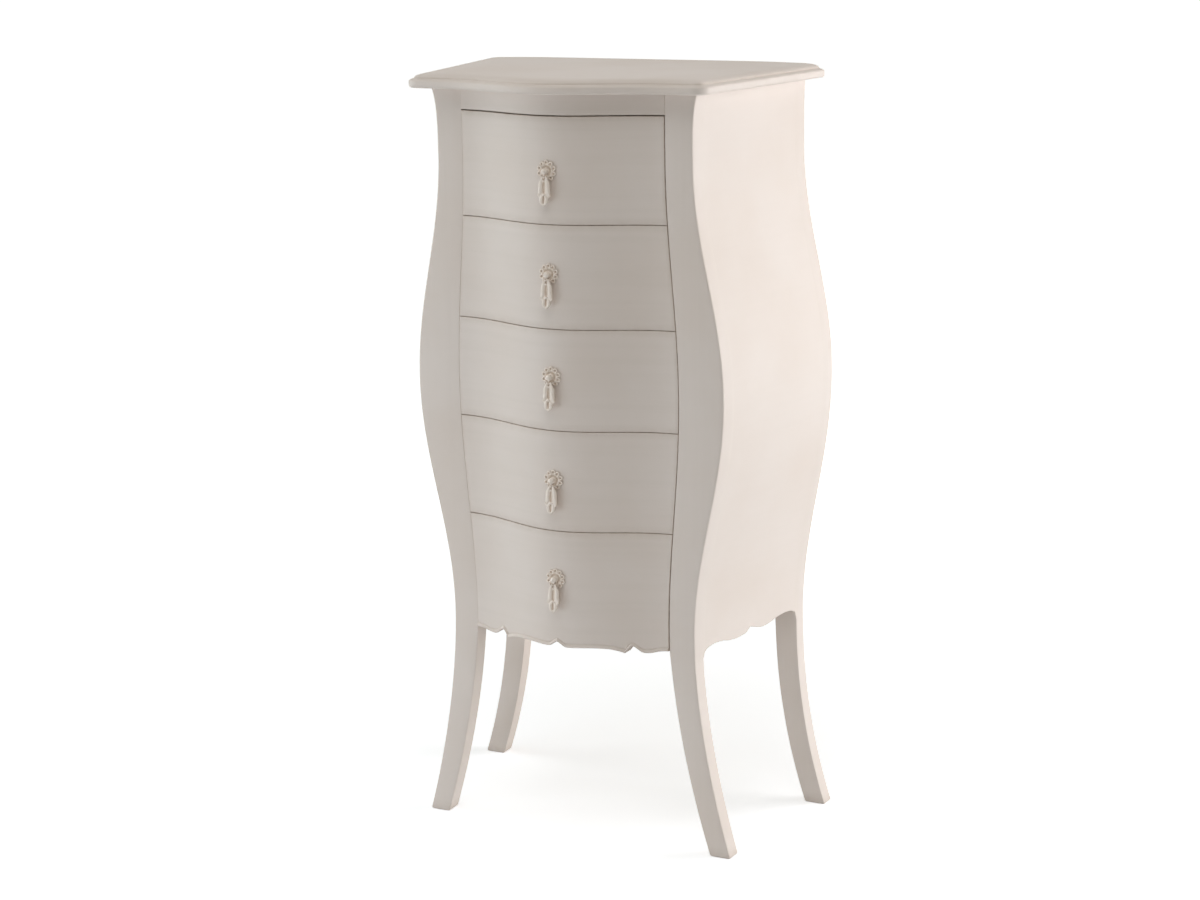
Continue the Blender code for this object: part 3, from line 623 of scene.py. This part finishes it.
def bowed_board(name, body, node, low, high, half, columns, edge_rows=None, shift=0.0, ends_free=True):
    """A board swept along the bow, plain or with the rows of a shaped lower edge."""
    height, width = high - low, 2 * half(low)

    def point(u, v):
        share = 2 * u - 1
        z = edge_rows(share, v) if edge_rows else blend(low, high, v)
        x = share * half(z) - shift
        return Vector((x, FRONT_Y + bow(x), z))

    # Brown along the rims: rubbed glazing, and painted shade in the lines between the boards
    def glaze_and_shade(u, v):
        near = min(v * height, (1 - v) * height)
        if ends_free:
            near = min(near, u * width, (1 - u) * width)
        # Painted shade in the quirk along the top of the apron's bead
        quirk = fade(abs(edge_rows.over_cut(v) - APRON_QUIRK), APRON_QUIRK_HALF) if edge_rows else 0.0
        return max(APRON_QUIRK_SHADE * quirk, RIM_GLAZE_AND_SHADE * fade(near, RIM_WIDTH) ** 2)

    rows = edge_rows.steps if edge_rows else rounded_steps(height, 14)
    piece = slab(name, columns, rows, point, Vector((0, 1, 0)), FRONT_THICKNESS, PAINT_ACROSS, glaze_and_shade)
    settle(piece, body, "cream_paint", node)


class ApronRows:
    """Rows of a board whose lower edge is scalloped: heights over the cut edge, then shares of what is left."""

    def __init__(self, points, top, levels, plain):
        self.points = [Vector(p) for p in points]
        self.top = top
        self.levels = levels
        self.steps = [(EDGE_SHARE * i / len(levels), depth) for i, (_, depth) in enumerate(levels)]
        self.steps += [(blend(EDGE_SHARE, 1.0, share), depth) for share, depth in plain]

    def cut(self, share):
        """Height of the cut edge."""
        a, b = next(pair for pair in zip(self.points, self.points[1:]) if pair[0].x <= share <= pair[1].x)
        return APRON_Z + blend(a.y, b.y, (share - a.x) / (b.x - a.x))

    def on_edge(self, v):
        return v < EDGE_SHARE - 1e-9

    def over_cut(self, v):
        """Height over the cut edge, for the rows of its section."""
        return self.levels[round(v / EDGE_SHARE * len(self.levels))][0] if self.on_edge(v) else 1.0

    def __call__(self, share, v):
        edge = self.cut(share)
        if self.on_edge(v):
            return edge + self.over_cut(v)
        low = edge + self.levels[-1][0] + FIRST_ROW_RISE
        return blend(low, self.top, (v - EDGE_SHARE) / (1.0 - EDGE_SHARE))


def eased_edge():
    """A cut edge's section without a bead: heights over the cut and depths behind the face."""
    angles = [math.radians(a) for a in (0, 20, 40, 65, 90)]
    return [(EDGE_ROUND * (1 - math.cos(a)), EDGE_ROUND * (1 - math.sin(a))) for a in angles]


def beaded_edge():
    """A cut edge's section with its bead, smoothed."""
    return [tuple(p) for p in smooth_run(BEAD, 2)]


def scallop_columns(points, half):
    """Columns that pass through every point of the cut edge, with rounded ends."""
    ends = rounded_steps(2 * half, 1)
    first, last = ends[:ARRIS_STEPS], ends[-ARRIS_STEPS:]
    reach = first[-1][0]
    inside = [((s + 1) / 2, 0.0) for s, _ in points if reach * 1.2 < (s + 1) / 2 < 1 - reach * 1.2]
    return first + [(reach * 1.15, 0.0)] + inside + [(1 - reach * 1.15, 0.0)] + last


def front_half(z):
    return opening_half(z) - SIDE_GAP


def make_fronts():
    """The four plain fronts, and the lowest with its apron."""
    for number in DRAWERS:
        body = f"drawer_{number}"
        low, high = (corner.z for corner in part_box(body + "_front"))
        top = high + LINE_CLOSED
        if number < DRAWERS[-1]:
            rows = None
            columns = rounded_steps(2 * front_half((low + high) / 2), 72)
            low -= LINE_CLOSED
        else:
            points = mirrored(scallop_points(FRONT_SCALLOP, 8))
            plain = [(i / 16, 0.0) for i in range(16)]
            plain += [(1 - s, d) for s, d in rounded_steps(high - APRON_Z, 1)[:ARRIS_STEPS + 1]]
            rows = ApronRows(points, top, beaded_edge(), sorted(plain))
            columns = scallop_columns(points, front_half(APRON_Z))
        bowed_board(f"front_{number}", body, body + "_front", low, top, front_half, columns, rows, SIT_LEFT)


def make_rail():
    """The bowed rail between the board and the first drawer."""
    bowed_board("rail_under_top", "carcass", "top_rail", RAIL_Z - RAIL_LINE_CLOSED, UNDER_BOARD_Z, opening_half,
                [(s, 0.0) for s in spread(0, 1, 80)], ends_free=False)


def make_side(label, side):
    """A side panel that follows the S of its posts, flush with both, with an eased scallop below."""
    points = scallop_points(SIDE_SCALLOP, 7)
    rows = ApronRows(points, UNDER_BOARD_Z, eased_edge(), [(s, 0.0) for s in spread(0, 1, 84)])
    columns = [((s + 1) / 2, 0.0) for s, _ in points]
    middle, half_span = (INNER_FRONT_Y + INNER_BACK_Y) / 2, (INNER_BACK_Y - INNER_FRONT_Y) / 2

    def point(u, v):
        share = 2 * u - 1
        z = rows(share, v)
        y = middle + share * half_span
        return Vector((side * side_half(z, y), y, z))

    # The side is darker towards its scalloped lower edge
    piece = slab("side_" + label, columns, rows.steps, point, Vector((-side, 0, 0)), SIDE_THICKNESS, PAINT_SIDE,
                 lambda u, v: RIM_GLAZE_AND_SHADE * fade(v, SIDE_EDGE_SHARE))
    settle(piece, "carcass", "cream_paint", "side_panel_" + label)


def front_leg_inner(z):
    if z >= APRON_Z:
        return opening_half(z)
    post_width = edge_half(APRON_Z, 0) - opening_half(APRON_Z)
    return edge_half(z, 0) - blend(FRONT_FOOT_WIDTH, post_width, z / APRON_Z)


def back_leg_inner(z):
    return edge_half(z, 1) - blend(BACK_FOOT_WIDTH, BACK_POST_WIDTH, min(1.0, z / APRON_Z))


def leg_outer(z, y, edge):
    square = LEG_SQUARENESS * ease(clamp((APRON_Z - z) / LEG_SQUARE_BELOW))
    return blend(side_half(z, y), edge_half(z, edge), square)


def rounded_ring(corners, radii):
    """A section whose corners are rounded, each by its own radius."""
    ring = []
    for i, corner in enumerate(corners):
        before, after = Vector(corners[i - 1]), Vector(corners[(i + 1) % len(corners)])
        corner = Vector(corner)
        radius = max(radii[i], 1e-5)
        start, end = (corner + (beside - corner).normalized() * radius for beside in (before, after))
        ring += [start * (1 - t) ** 2 + 2 * corner * t * (1 - t) + end * t ** 2 for t in spread(0.0, 1.0, 4)]
    return ring


def make_leg(label, side, edge):
    """A corner post and its sabre leg, eased at every free edge and rounded at the foot."""
    kind, inner, front, back = (("front", front_leg_inner, FRONT_Y, INNER_FRONT_Y),
                                ("back", back_leg_inner, INNER_BACK_Y, BACK_Y))[edge]
    levels = [FOOT_ROUND * (1 - math.cos(math.radians(a))) for a in (0, 25, 50, 70, 90)]
    levels += spread(FOOT_ROUND, APRON_Z, 44)[1:] + spread(APRON_Z, RAIL_Z - RAIL_BUTT, 90)[1:]
    levels += spread(RAIL_Z, UNDER_BOARD_Z, 5)
    shape = bmesh.new()
    layer = glaze_and_shade_layer(shape)
    loops = []
    for z in levels:
        free = 1.0 - ease(clamp((z - APRON_Z + LEG_FREE_BELOW) / LEG_FREE_RUN))
        inset = FOOT_ROUND * FOOT_DRAWN_IN * (1 - math.sqrt(1 - fade(z, FOOT_ROUND) ** 2))
        corners = [(inner(z) + inset, front + inset), (leg_outer(z, front, edge) - inset, front + inset),
                   (leg_outer(z, back, edge) - inset, back - inset), (inner(z) + inset, back - inset)]
        at_front, at_back = (PANEL_ARRIS_SHARE * free, 1.0) if edge else (1.0, PANEL_ARRIS_SHARE * free)
        radii = [LEG_ARRIS * share for share in (INNER_ARRIS_SHARE * at_front, at_front,
                                                 at_back, INNER_ARRIS_SHARE * at_back)]
        if edge == 0:
            beside_rail = ease(clamp((z - RAIL_Z + RAIL_BUTT) / RAIL_BUTT))
            radii[0] = blend(ARRIS, LEG_ARRIS, free) * (1.0 - beside_rail)
        spots = [(side * p.x, p.y, z) for p in rounded_ring(corners, radii)]
        # The foot is darker towards the floor
        loops.append(glaze_and_shade_loop(shape, layer, spots, FOOT_DARKENING * fade(z, FOOT_HEIGHT) ** 2))
    skin(shape, loops)
    piece = finish_piece(shape, f"{kind}_leg_{label}", PAINT_UPRIGHT)
    settle(piece, "carcass", "cream_paint", f"leg_{kind}_{label}")


def top_profile():
    """The board's moulded edge upwards: an upright face, a thumb slope, a quirk, and an ovolo to the top."""
    return [tuple(p) for run in (LIP, OVOLO) for p in smooth_run(run, 4)]


def top_outline(inset):
    cant = math.atan((CROWN_HALF[1] - CROWN_HALF[0]) / CARCASS_DEPTH)
    front = FRONT_Y - TOP_FRONT_OVERHANG + inset
    side_at_front = side_half(BOARD_Z, front) + (TOP_SIDE_OVERHANG - inset) / math.cos(cant)
    side_at_back = side_half(BOARD_Z, BACK_Y) + (TOP_SIDE_OVERHANG - inset) / math.cos(cant)
    radius = max(TOP_CORNER_RADIUS - inset, TOP_CORNER_RADIUS / 5)
    reach = radius * math.tan((math.pi / 2 - cant) / 2)
    centre = Vector((side_at_front - reach, front + radius))
    corner = [(centre.x + radius * math.cos(a), centre.y + radius * math.sin(a))
              for a in spread(-math.pi / 2, -cant, 14)]
    nose = [(x, front + bow(x)) for x in spread(-BOW_HALF_SPAN, BOW_HALF_SPAN, 90)]
    left = [(-x, y) for x, y in reversed(corner)]
    return left + nose + corner + [(side_at_back, BACK_Y), (-side_at_back, BACK_Y)]


def make_top():
    """The moulded board, with its slight crown."""
    profile = [(inset, rise, 1.0) for inset, rise in top_profile()]
    inset, edge_rise, _ = profile[-1]
    profile += [(inset, blend(edge_rise, HEIGHT - BOARD_Z, raised), share) for share, raised in TOP_CROWN]
    shape = bmesh.new()
    layer = glaze_and_shade_layer(shape)
    loops = []
    for inset, rise, share in profile:
        spots = [(x * share, BACK_Y + (y - BACK_Y) * share, BOARD_Z + rise) for x, y in top_outline(inset)]
        # Painted shade in the quirk between the lip and the ovolo
        in_quirk = fade(abs(inset - TOP_QUIRK), TOP_QUIRK_HALF)
        loops.append(glaze_and_shade_loop(shape, layer, spots, TOP_QUIRK_SHADE * in_quirk))
    skin(shape, loops)
    settle(finish_piece(shape, "moulded_top", PAINT_TOP, 30.0), "carcass", "cream_paint", "top_board")


make_top()
make_rail()
make_fronts()
for side_label, side_sign in (("left", -1), ("right", 1)):
    make_side(side_label, side_sign)
    make_leg(side_label, side_sign, 0)
    make_leg(side_label, side_sign, 1)


# Bare wood inside

WOOD_EASED = 0.0008
PANEL_EASED = 0.0006
THIN_PANEL_EASED = 0.0004


def soften(node, material, slot, body, width):
    """A packed board again with its arrises taken off."""
    shape = bmesh.new()
    shape.from_mesh(frame["nodes"][node].data)
    bmesh.ops.remove_doubles(shape, verts=shape.verts, dist=1e-6)
    bmesh.ops.dissolve_limit(shape, angle_limit=math.radians(0.5), verts=shape.verts, edges=shape.edges)
    sharp = [e for e in shape.edges if len(e.link_faces) == 2 and e.calc_face_angle() > math.radians(50)]
    bmesh.ops.bevel(shape, geom=sharp, offset=width, segments=2, profile=0.5, affect="EDGES",
                    clamp_overlap=True)
    name = node.replace("drawer", "box").replace("_panel", "").replace("runner", "bearer") + "_eased"
    settle(finish_piece(shape, name, material), body, slot, node)


for number in DRAWERS:
    own = f"drawer_{number}"
    for name in ("side_left", "side_right"):
        soften(f"{own}_{name}", PINE_Y, "bare_wood", own, WOOD_EASED)
    soften(f"{own}_back", PINE_X, "bare_wood", own, WOOD_EASED)
    soften(f"{own}_bottom", PLY_X, "plywood", own, THIN_PANEL_EASED)
    for name in ("left", "right"):
        soften(f"runner_{number}_{name}", PINE_Y, "bare_wood", "carcass", WOOD_EASED)
soften("back_panel", PLY_Z, "plywood", "carcass", PANEL_EASED)
soften("bottom_board", PLY_X, "plywood", "carcass", PANEL_EASED)


# Cast pulls, drawn in the XZ plane round the middle of the rosette and facing -Y

LOBES = 10
RIM_RING = 0.0113
LOOP_RADIUS = 0.0024
LOOP_WIRE = 0.0011
LOOP_RISE = 0.0013
BEAD_RING = 0.0097
BEAD_RADIUS = 0.0014
BEAD_RISE_ON_RIM = 0.0024
BALL_RADIUS = 0.0043
BALL_REACH = 0.0078
SHANK_RADIUS = 0.0019
PIVOT_BELOW = 0.0080
DROP_CURVE = 0.0036
DROP_LENGTH = 0.038
FACE_UP = Matrix.Rotation(math.pi / 2, 4, "X")

# The inputs of the rosette's rim
RIM_SIZES = {
    "Lobes": LOBES, "Ring radius": RIM_RING, "Loop radius": LOOP_RADIUS, "Wire radius": LOOP_WIRE,
    "Loop rise": LOOP_RISE, "Bead ring": BEAD_RING, "Bead radius": BEAD_RADIUS, "Bead rise": BEAD_RISE_ON_RIM,
}


def geometry_tree(name, sizes):
    """A geometry node group with an input for each size, and wires to its geometry and each input."""
    tree = bpy.data.node_groups.new(name, "GeometryNodeTree")
    tree.interface.new_socket("Geometry", in_out="INPUT", socket_type="NodeSocketGeometry")
    for label, value in sizes.items():
        kind = "NodeSocketInt" if isinstance(value, int) else "NodeSocketFloat"
        tree.interface.new_socket(label, in_out="INPUT", socket_type=kind)
    tree.interface.new_socket("Geometry", in_out="OUTPUT", socket_type="NodeSocketGeometry")
    source = tree.nodes.new("NodeGroupInput")
    return tree, Wire(tree), [Wire(tree, socket) for socket in source.outputs]


def close_tree(tree, geometry, material):
    """Makes the instances real, gives them their material and ends the tree."""
    real = geometry.node("GeometryNodeRealizeInstances", None, {"Geometry": geometry})
    dressed = real.node("GeometryNodeSetMaterial", None, {"Geometry": real, "Material": material})
    end = tree.nodes.new("NodeGroupOutput")
    tree.links.new(dressed.socket, end.inputs[0])


def run_tree(tree, mesh, values):
    """Runs a tree on a mesh and gives the result as a plain mesh."""
    holder = bpy.data.objects.new(tree.name, mesh)
    scene.collection.objects.link(holder)
    modifier = holder.modifiers.new(tree.name, "NODES")
    modifier.node_group = tree
    sockets = {item.name: item.identifier for item in tree.interface.items_tree if item.in_out == "INPUT"}
    for label, value in values.items():
        modifier[sockets[label]] = value
    bpy.context.view_layer.update()
    made = bpy.data.meshes.new_from_object(holder.evaluated_get(bpy.context.evaluated_depsgraph_get()))
    holder.modifiers.remove(modifier)
    bpy.data.objects.remove(holder, do_unlink=True)
    return made


def rim_tree():
    """Openwork loops and beads, set in turn round a ring on the rosette's dish."""
    tree, start, inputs = geometry_tree("openwork_rim", RIM_SIZES)
    dish, lobes, ring, loop, wire_radius, loop_rise, bead_ring, bead, bead_rise, _ = inputs
    path, section = (start.node("GeometryNodeCurvePrimitiveCircle", {"mode": "RADIUS"},
                                {"Resolution": count, "Radius": radius})
                     for count, radius in ((20, loop), (8, wire_radius)))
    link = start.node("GeometryNodeCurveToMesh", None, {"Curve": path, "Profile Curve": section})
    ball = start.node("GeometryNodeMeshIcoSphere", None, {"Radius": bead, "Subdivisions": 3})
    half_step = start.node("ShaderNodeCombineXYZ", None, {"Z": start.math("DIVIDE", math.pi, lobes)})
    whole = tree.nodes.new("GeometryNodeJoinGeometry")
    for piece, radius, rise, turn in ((link, ring, loop_rise, half_step),
                                      (ball, bead_ring, bead_rise, (0.0, 0.0, 0.0))):
        circle = start.node("GeometryNodeMeshCircle", {"fill_type": "NONE"},
                            {"Vertices": lobes, "Radius": radius})
        lifted = start.node("ShaderNodeCombineXYZ", None, {"Z": rise})
        spots = start.node("GeometryNodeTransform", None,
                           {"Geometry": circle, "Translation": lifted, "Rotation": turn})
        copies = start.node("GeometryNodeInstanceOnPoints", None, {"Points": spots, "Instance": piece})
        tree.links.new(copies.socket, whole.inputs[0])
    tree.links.new(dish.socket, whole.inputs[0])
    smooth = start.node("GeometryNodeSetShadeSmooth", None, {"Geometry": Wire(tree, whole.outputs[0])})
    close_tree(tree, smooth, PULL_CREAM)
    return tree


def round_angles(count):
    return [2 * math.pi * i / count for i in range(count)]


def revolve(profile, sides, wobble=None):
    """A closed shape turned round Z from a profile of (radius, height); wobble moves a point by its angle."""
    shape = bmesh.new()
    loops = []
    for radius, height in profile:
        loop = []
        for a in round_angles(sides):
            r, h = wobble(radius, height, a) if wobble else (radius, height)
            loop.append(shape.verts.new((r * math.cos(a), r * math.sin(a), h)))
        loops.append(loop)
    skin(shape, loops)
    return shape


def dish_mesh():
    """The rosette's saucer: a thin plate behind the loops, a raised lip, a deep ribbed hollow and a boss."""
    profile = [
        (0.0124, 0.0002), (0.0127, 0.0004), (0.0124, 0.0007), (0.0108, 0.0008), (0.0100, 0.0012),
        (0.0096, 0.0018), (0.0090, 0.0024), (0.0083, 0.0026), (0.0076, 0.0023), (0.0070, 0.0014),
        (0.0062, 0.0009), (0.0052, 0.0008), (0.0043, 0.0013), (0.0037, 0.0024), (0.0030, 0.0031),
        (0.0021, 0.0034),
    ]

    def ribbed(radius, height, angle):
        ribs = 0.5 + 0.5 * math.cos(LOBES * angle)
        hollow = fade(abs(radius - 0.0062), 0.0022)
        lip = fade(abs(radius - 0.0088), 0.0016)
        return radius + 0.0006 * lip * (ribs - 0.5), height + 0.0010 * hollow * ribs - 0.0005 * lip * (1 - ribs)

    return to_mesh(revolve(profile, 80, ribbed), "dish")


def tube(shape, points, radii, sides=10, flat=1.0):
    """Adds a closed bar through the points, with its own radius at each; flat squeezes it front to back."""
    loops = []
    for i, (point, radius) in enumerate(zip(points, radii)):
        ahead = points[min(i + 1, len(points) - 1)] - points[max(i - 1, 0)]
        turn = ahead.to_track_quat("Z", "Y").to_matrix()
        loop = []
        for a in round_angles(sides):
            out = turn @ Vector((radius * math.cos(a), radius * math.sin(a), 0.0))
            loop.append(shape.verts.new(point + Vector((out.x, out.y, out.z * flat))))
        loops.append(loop)
    skin(shape, loops)


def shaped_bar(shape, stations, height):
    """A flattened bar through (x, z, radius) stations, smoothed, at one height over the casting's middle."""
    run = smooth_run(stations, 4)
    tube(shape, [Vector((p.x, p.y, height)) for p in run], [max(p.z, 0.0002) for p in run], 14, 0.62)


def add_ring(shape, middle, radius, wire):
    """Adds a closed ring that stands across the pull."""
    loops = []
    for a in round_angles(20):
        loop = []
        for b in round_angles(8):
            reach = radius + wire * math.cos(b)
            out = Vector((wire * math.sin(b), reach * math.cos(a), reach * math.sin(a)))
            loop.append(shape.verts.new(middle + out))
        loops.append(loop)
    skin(shape, loops, closed=True)


def add_ball(shape, centre, radius, stretch):
    matrix = Matrix.Translation(centre) @ Matrix.Diagonal((*stretch, 1))
    bmesh.ops.create_icosphere(shape, subdivisions=3, radius=radius, matrix=matrix)


def plate_mesh(outlines, thickness, edge):
    """A flat casting with rounded edges; the first outline is its edge and the others are holes."""
    curve = bpy.data.curves.new("casting", "CURVE")
    curve.dimensions = "2D"
    curve.fill_mode = "BOTH"
    curve.extrude = thickness / 2 - edge
    curve.bevel_depth = edge
    curve.bevel_resolution = 3
    curve.offset = -edge
    for outline in outlines:
        spline = curve.splines.new("POLY")
        spline.points.add(len(outline) - 1)
        spline.use_cyclic_u = True
        for point, (x, y) in zip(spline.points, outline):
            point.co = (x, y, 0.0, 1.0)
    guide = bpy.data.objects.new("casting", curve)
    scene.collection.objects.link(guide)
    bpy.context.view_layer.update()
    shape = bmesh.new()
    shape.from_mesh(bpy.data.meshes.new_from_object(guide.evaluated_get(bpy.context.evaluated_depsgraph_get())))
    bmesh.ops.remove_doubles(shape, verts=shape.verts, dist=1e-6)
    bpy.data.objects.remove(guide, do_unlink=True)
    return to_mesh(shape, "casting")


def drop_bend(down):
    """How far the drop has curved away from the drawer's face, that far under its pivot."""
    return DROP_CURVE * (min(0.0, down) / DROP_LENGTH) ** 2


def drop_shape():
    """The hanging drop from its pivot down: ears, two strands round a hollow, flared tips and a pair of leaves.

    It curves away from the drawer's face towards its lower end.
    """
    right = [
        (0.0015, -0.0038), (0.0015, 0.0012), (0.0026, 0.0021), (0.0037, 0.0012), (0.0042, -0.0030),
        (0.0063, -0.0055), (0.0077, -0.0092), (0.0082, -0.0150), (0.0086, -0.0208), (0.0095, -0.0248),
        (0.0078, -0.0271), (0.0062, -0.0286), (0.0063, -0.0316), (0.0052, -0.0350), (0.0027, -0.0374),
    ]
    outline = round_off(right + [(0.0, -0.0381)] + [(-x, z) for x, z in reversed(right)])
    holes = [
        round_off([(0.0, top), *side, (0.0, low), *((-x, z) for x, z in reversed(side))])
        for top, side, low in (
            (-0.0062, ((0.0016, -0.0080), (0.0019, -0.0120), (0.0019, -0.0172), (0.0015, -0.0206)), -0.0220),
            (-0.0251, ((0.0010, -0.0266), (0.0014, -0.0300), (0.0010, -0.0338)), -0.0354),
        )
    ]
    strand = ((0.0027, 0.0004, 0.0010), (0.0036, -0.0030, 0.0020), (0.0050, -0.0080, 0.0030),
              (0.0053, -0.0140, 0.0033), (0.0055, -0.0194, 0.0033), (0.0068, -0.0231, 0.0026),
              (0.0088, -0.0254, 0.0010))
    vein = ((0.0062, -0.0160, 0.0004), (0.0070, -0.0200, 0.0008), (0.0083, -0.0232, 0.0008),
            (0.0091, -0.0249, 0.0003))
    leaf = ((0.0014, -0.0240, 0.0009), (0.0033, -0.0266, 0.0021), (0.0040, -0.0304, 0.0025),
            (0.0034, -0.0343, 0.0021), (0.0012, -0.0372, 0.0008))
    shape = bmesh.new()
    shape.from_mesh(plate_mesh([outline, *holes], 0.0034, 0.0008))
    web = plate_mesh([[(x * 0.6, z * 0.96 - 0.0012) for x, z in outline]], 0.0010, 0.0003)
    web.transform(Matrix.Translation((0.0, 0.0, -0.0009)))
    shape.from_mesh(web)
    for side in (-1, 1):
        for stations, height in ((strand, 0.0009), (vein, 0.0024), (leaf, 0.0010)):
            shaped_bar(shape, [(side * x, z, r) for x, z, r in stations], height)
    add_ball(shape, (0, -0.0233, 0.0017), 0.0019, (1.5, 0.85, 0.9))
    add_ball(shape, (0, -0.0378, 0.0), 0.0013, (1, 1.2, 1))
    tube(shape, [Vector((x, 0, 0)) for x in (-0.0040, -0.0036, 0.0036, 0.0040)],
         (0.0007, 0.0010, 0.0010, 0.0007))
    for vert in shape.verts:
        vert.co.z += drop_bend(vert.co.y)
    return shape


def knob_shape():
    """The post: a shank through the front, a collar, a neck, the ball and the eye that carries the drop."""
    profile = [(SHANK_RADIUS, -0.0240), (SHANK_RADIUS, 0.0034), (0.0030, 0.0035), (0.0031, 0.0039),
               (0.0022, 0.0044)]
    for angle in spread(-60, 84, 16):
        a = math.radians(angle)
        profile.append((BALL_RADIUS * math.cos(a), BALL_REACH + BALL_RADIUS * math.sin(a)))
    shape = revolve(profile, 40)
    add_ring(shape, Vector((0, -PIVOT_BELOW, BALL_REACH)), 0.00165, 0.00055)
    tube(shape, [Vector((0, y, BALL_REACH)) for y in (-0.0030, -0.0050, -0.0062, -0.0066)],
         (0.0016, 0.0012, 0.0010, 0.0007), 12)
    return shape


def low_glaze_and_shade(low, high):
    """Brown in what lies low, fading out towards what stands proud: glazing, and painted shade in the hollows.
    """
    return lambda x, z, height: 1.0 - clamp((height - low) / (high - low))


def rosette_glaze_and_shade(x, z, height):
    """Brown in the holes of the rim, in the hollow round the boss and by the drawer: glazing gathered there,
    and painted shade.
    """
    radius = math.hypot(x, z)
    step = 2 * math.pi / LOBES
    turn = math.atan2(z, x) % step - step / 2
    from_hole = math.hypot(radius * math.cos(turn) - RIM_RING, radius * math.sin(turn))
    hole = 0.6 - min(0.6, max(0.0, (from_hole - 0.0013) / 0.0010))
    hollow = 0.55 - min(0.55, max(0.0, abs(radius - 0.0060) - 0.0012) / 0.0014)
    return max(hole * low_glaze_and_shade(0.0015, 0.0024)(x, z, height), hollow,
               0.4 * low_glaze_and_shade(0.0006, 0.0014)(x, z, height))


def drop_glaze_and_shade(x, z, height):
    """Brown on the back of the drop and low in its hollows, whatever its curve: glazing, and painted shade."""
    return low_glaze_and_shade(-0.0013, -0.0001)(x, z, height - drop_bend(z))


def cast_piece(mesh, name, place, glaze_and_shade):
    """Stands a casting up at its place, with brown in its hollows: glazing, and painted shade."""
    layer = mesh.attributes.new("glaze_and_shade_amount", "FLOAT", "POINT")
    for vert, value in zip(mesh.vertices, layer.data):
        value.value = glaze_and_shade(*vert.co)
    mesh.transform(Matrix.Translation(place) @ FACE_UP)
    return mesh_piece(mesh, name, PULL_CREAM, 50.0)


def make_pulls():
    """A rosette, a post and a hanging drop on each front."""
    tree = rim_tree()
    pivots = {joint["child"]: Vector(joint["pos_m"]) for joint in frame["joints"] if joint["type"] == "hinge"}
    for number in DRAWERS:
        pivot = pivots[f"pull_{number}"]
        centre = Vector((0.0, FRONT_Y - BOW, pivot.z + PIVOT_BELOW))
        # Each casting's brown: glazing, and painted shade in its hollows and by the drawer
        castings = (
            ("flower", run_tree(tree, dish_mesh(), RIM_SIZES), centre, rosette_glaze_and_shade, "drawer", "rosette"),
            ("knob", to_mesh(knob_shape(), "knob"), centre, low_glaze_and_shade(0.0028, 0.0052), "drawer", "post"),
            ("drop", to_mesh(drop_shape(), "drop"), pivot, drop_glaze_and_shade, "pull", "drop"),
        )
        for name, mesh, place, glaze_and_shade, body, node in castings:
            piece = cast_piece(mesh, f"{name}_{number}", place, glaze_and_shade)
            settle(piece, f"{body}_{number}", "painted_metal", f"pull_{number}_{node}")


def make_nuts():
    """A washer and a hexagon nut on each post, inside the drawer."""
    seat = FRONT_Y - BOW + FRONT_THICKNESS
    for number in DRAWERS:
        z = sum(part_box(f"pull_{number}_rosette"), Vector()).z / 2
        washer = revolve([(0.0021, 0.0), (0.0050, 0.0), (0.0050, 0.0008), (0.0021, 0.0008)], 32)
        nut = revolve([(0.0026, 0.0008), (0.0031, 0.0011), (0.0031, 0.0029), (0.0026, 0.0032)], 6)
        both = bmesh.new()
        for shape in (washer, nut):
            both.from_mesh(to_mesh(shape, "nut"))
        both.transform(Matrix.Translation((0, seat, z)) @ Matrix.Rotation(-math.pi / 2, 4, "X"))
        settle(finish_piece(both, f"nut_{number}", ZINC, 30.0), f"drawer_{number}", "painted_metal")


make_pulls()
make_nuts()

place_camera()
stage_floor()
light_room()
scene.view_settings.view_transform = "Standard"
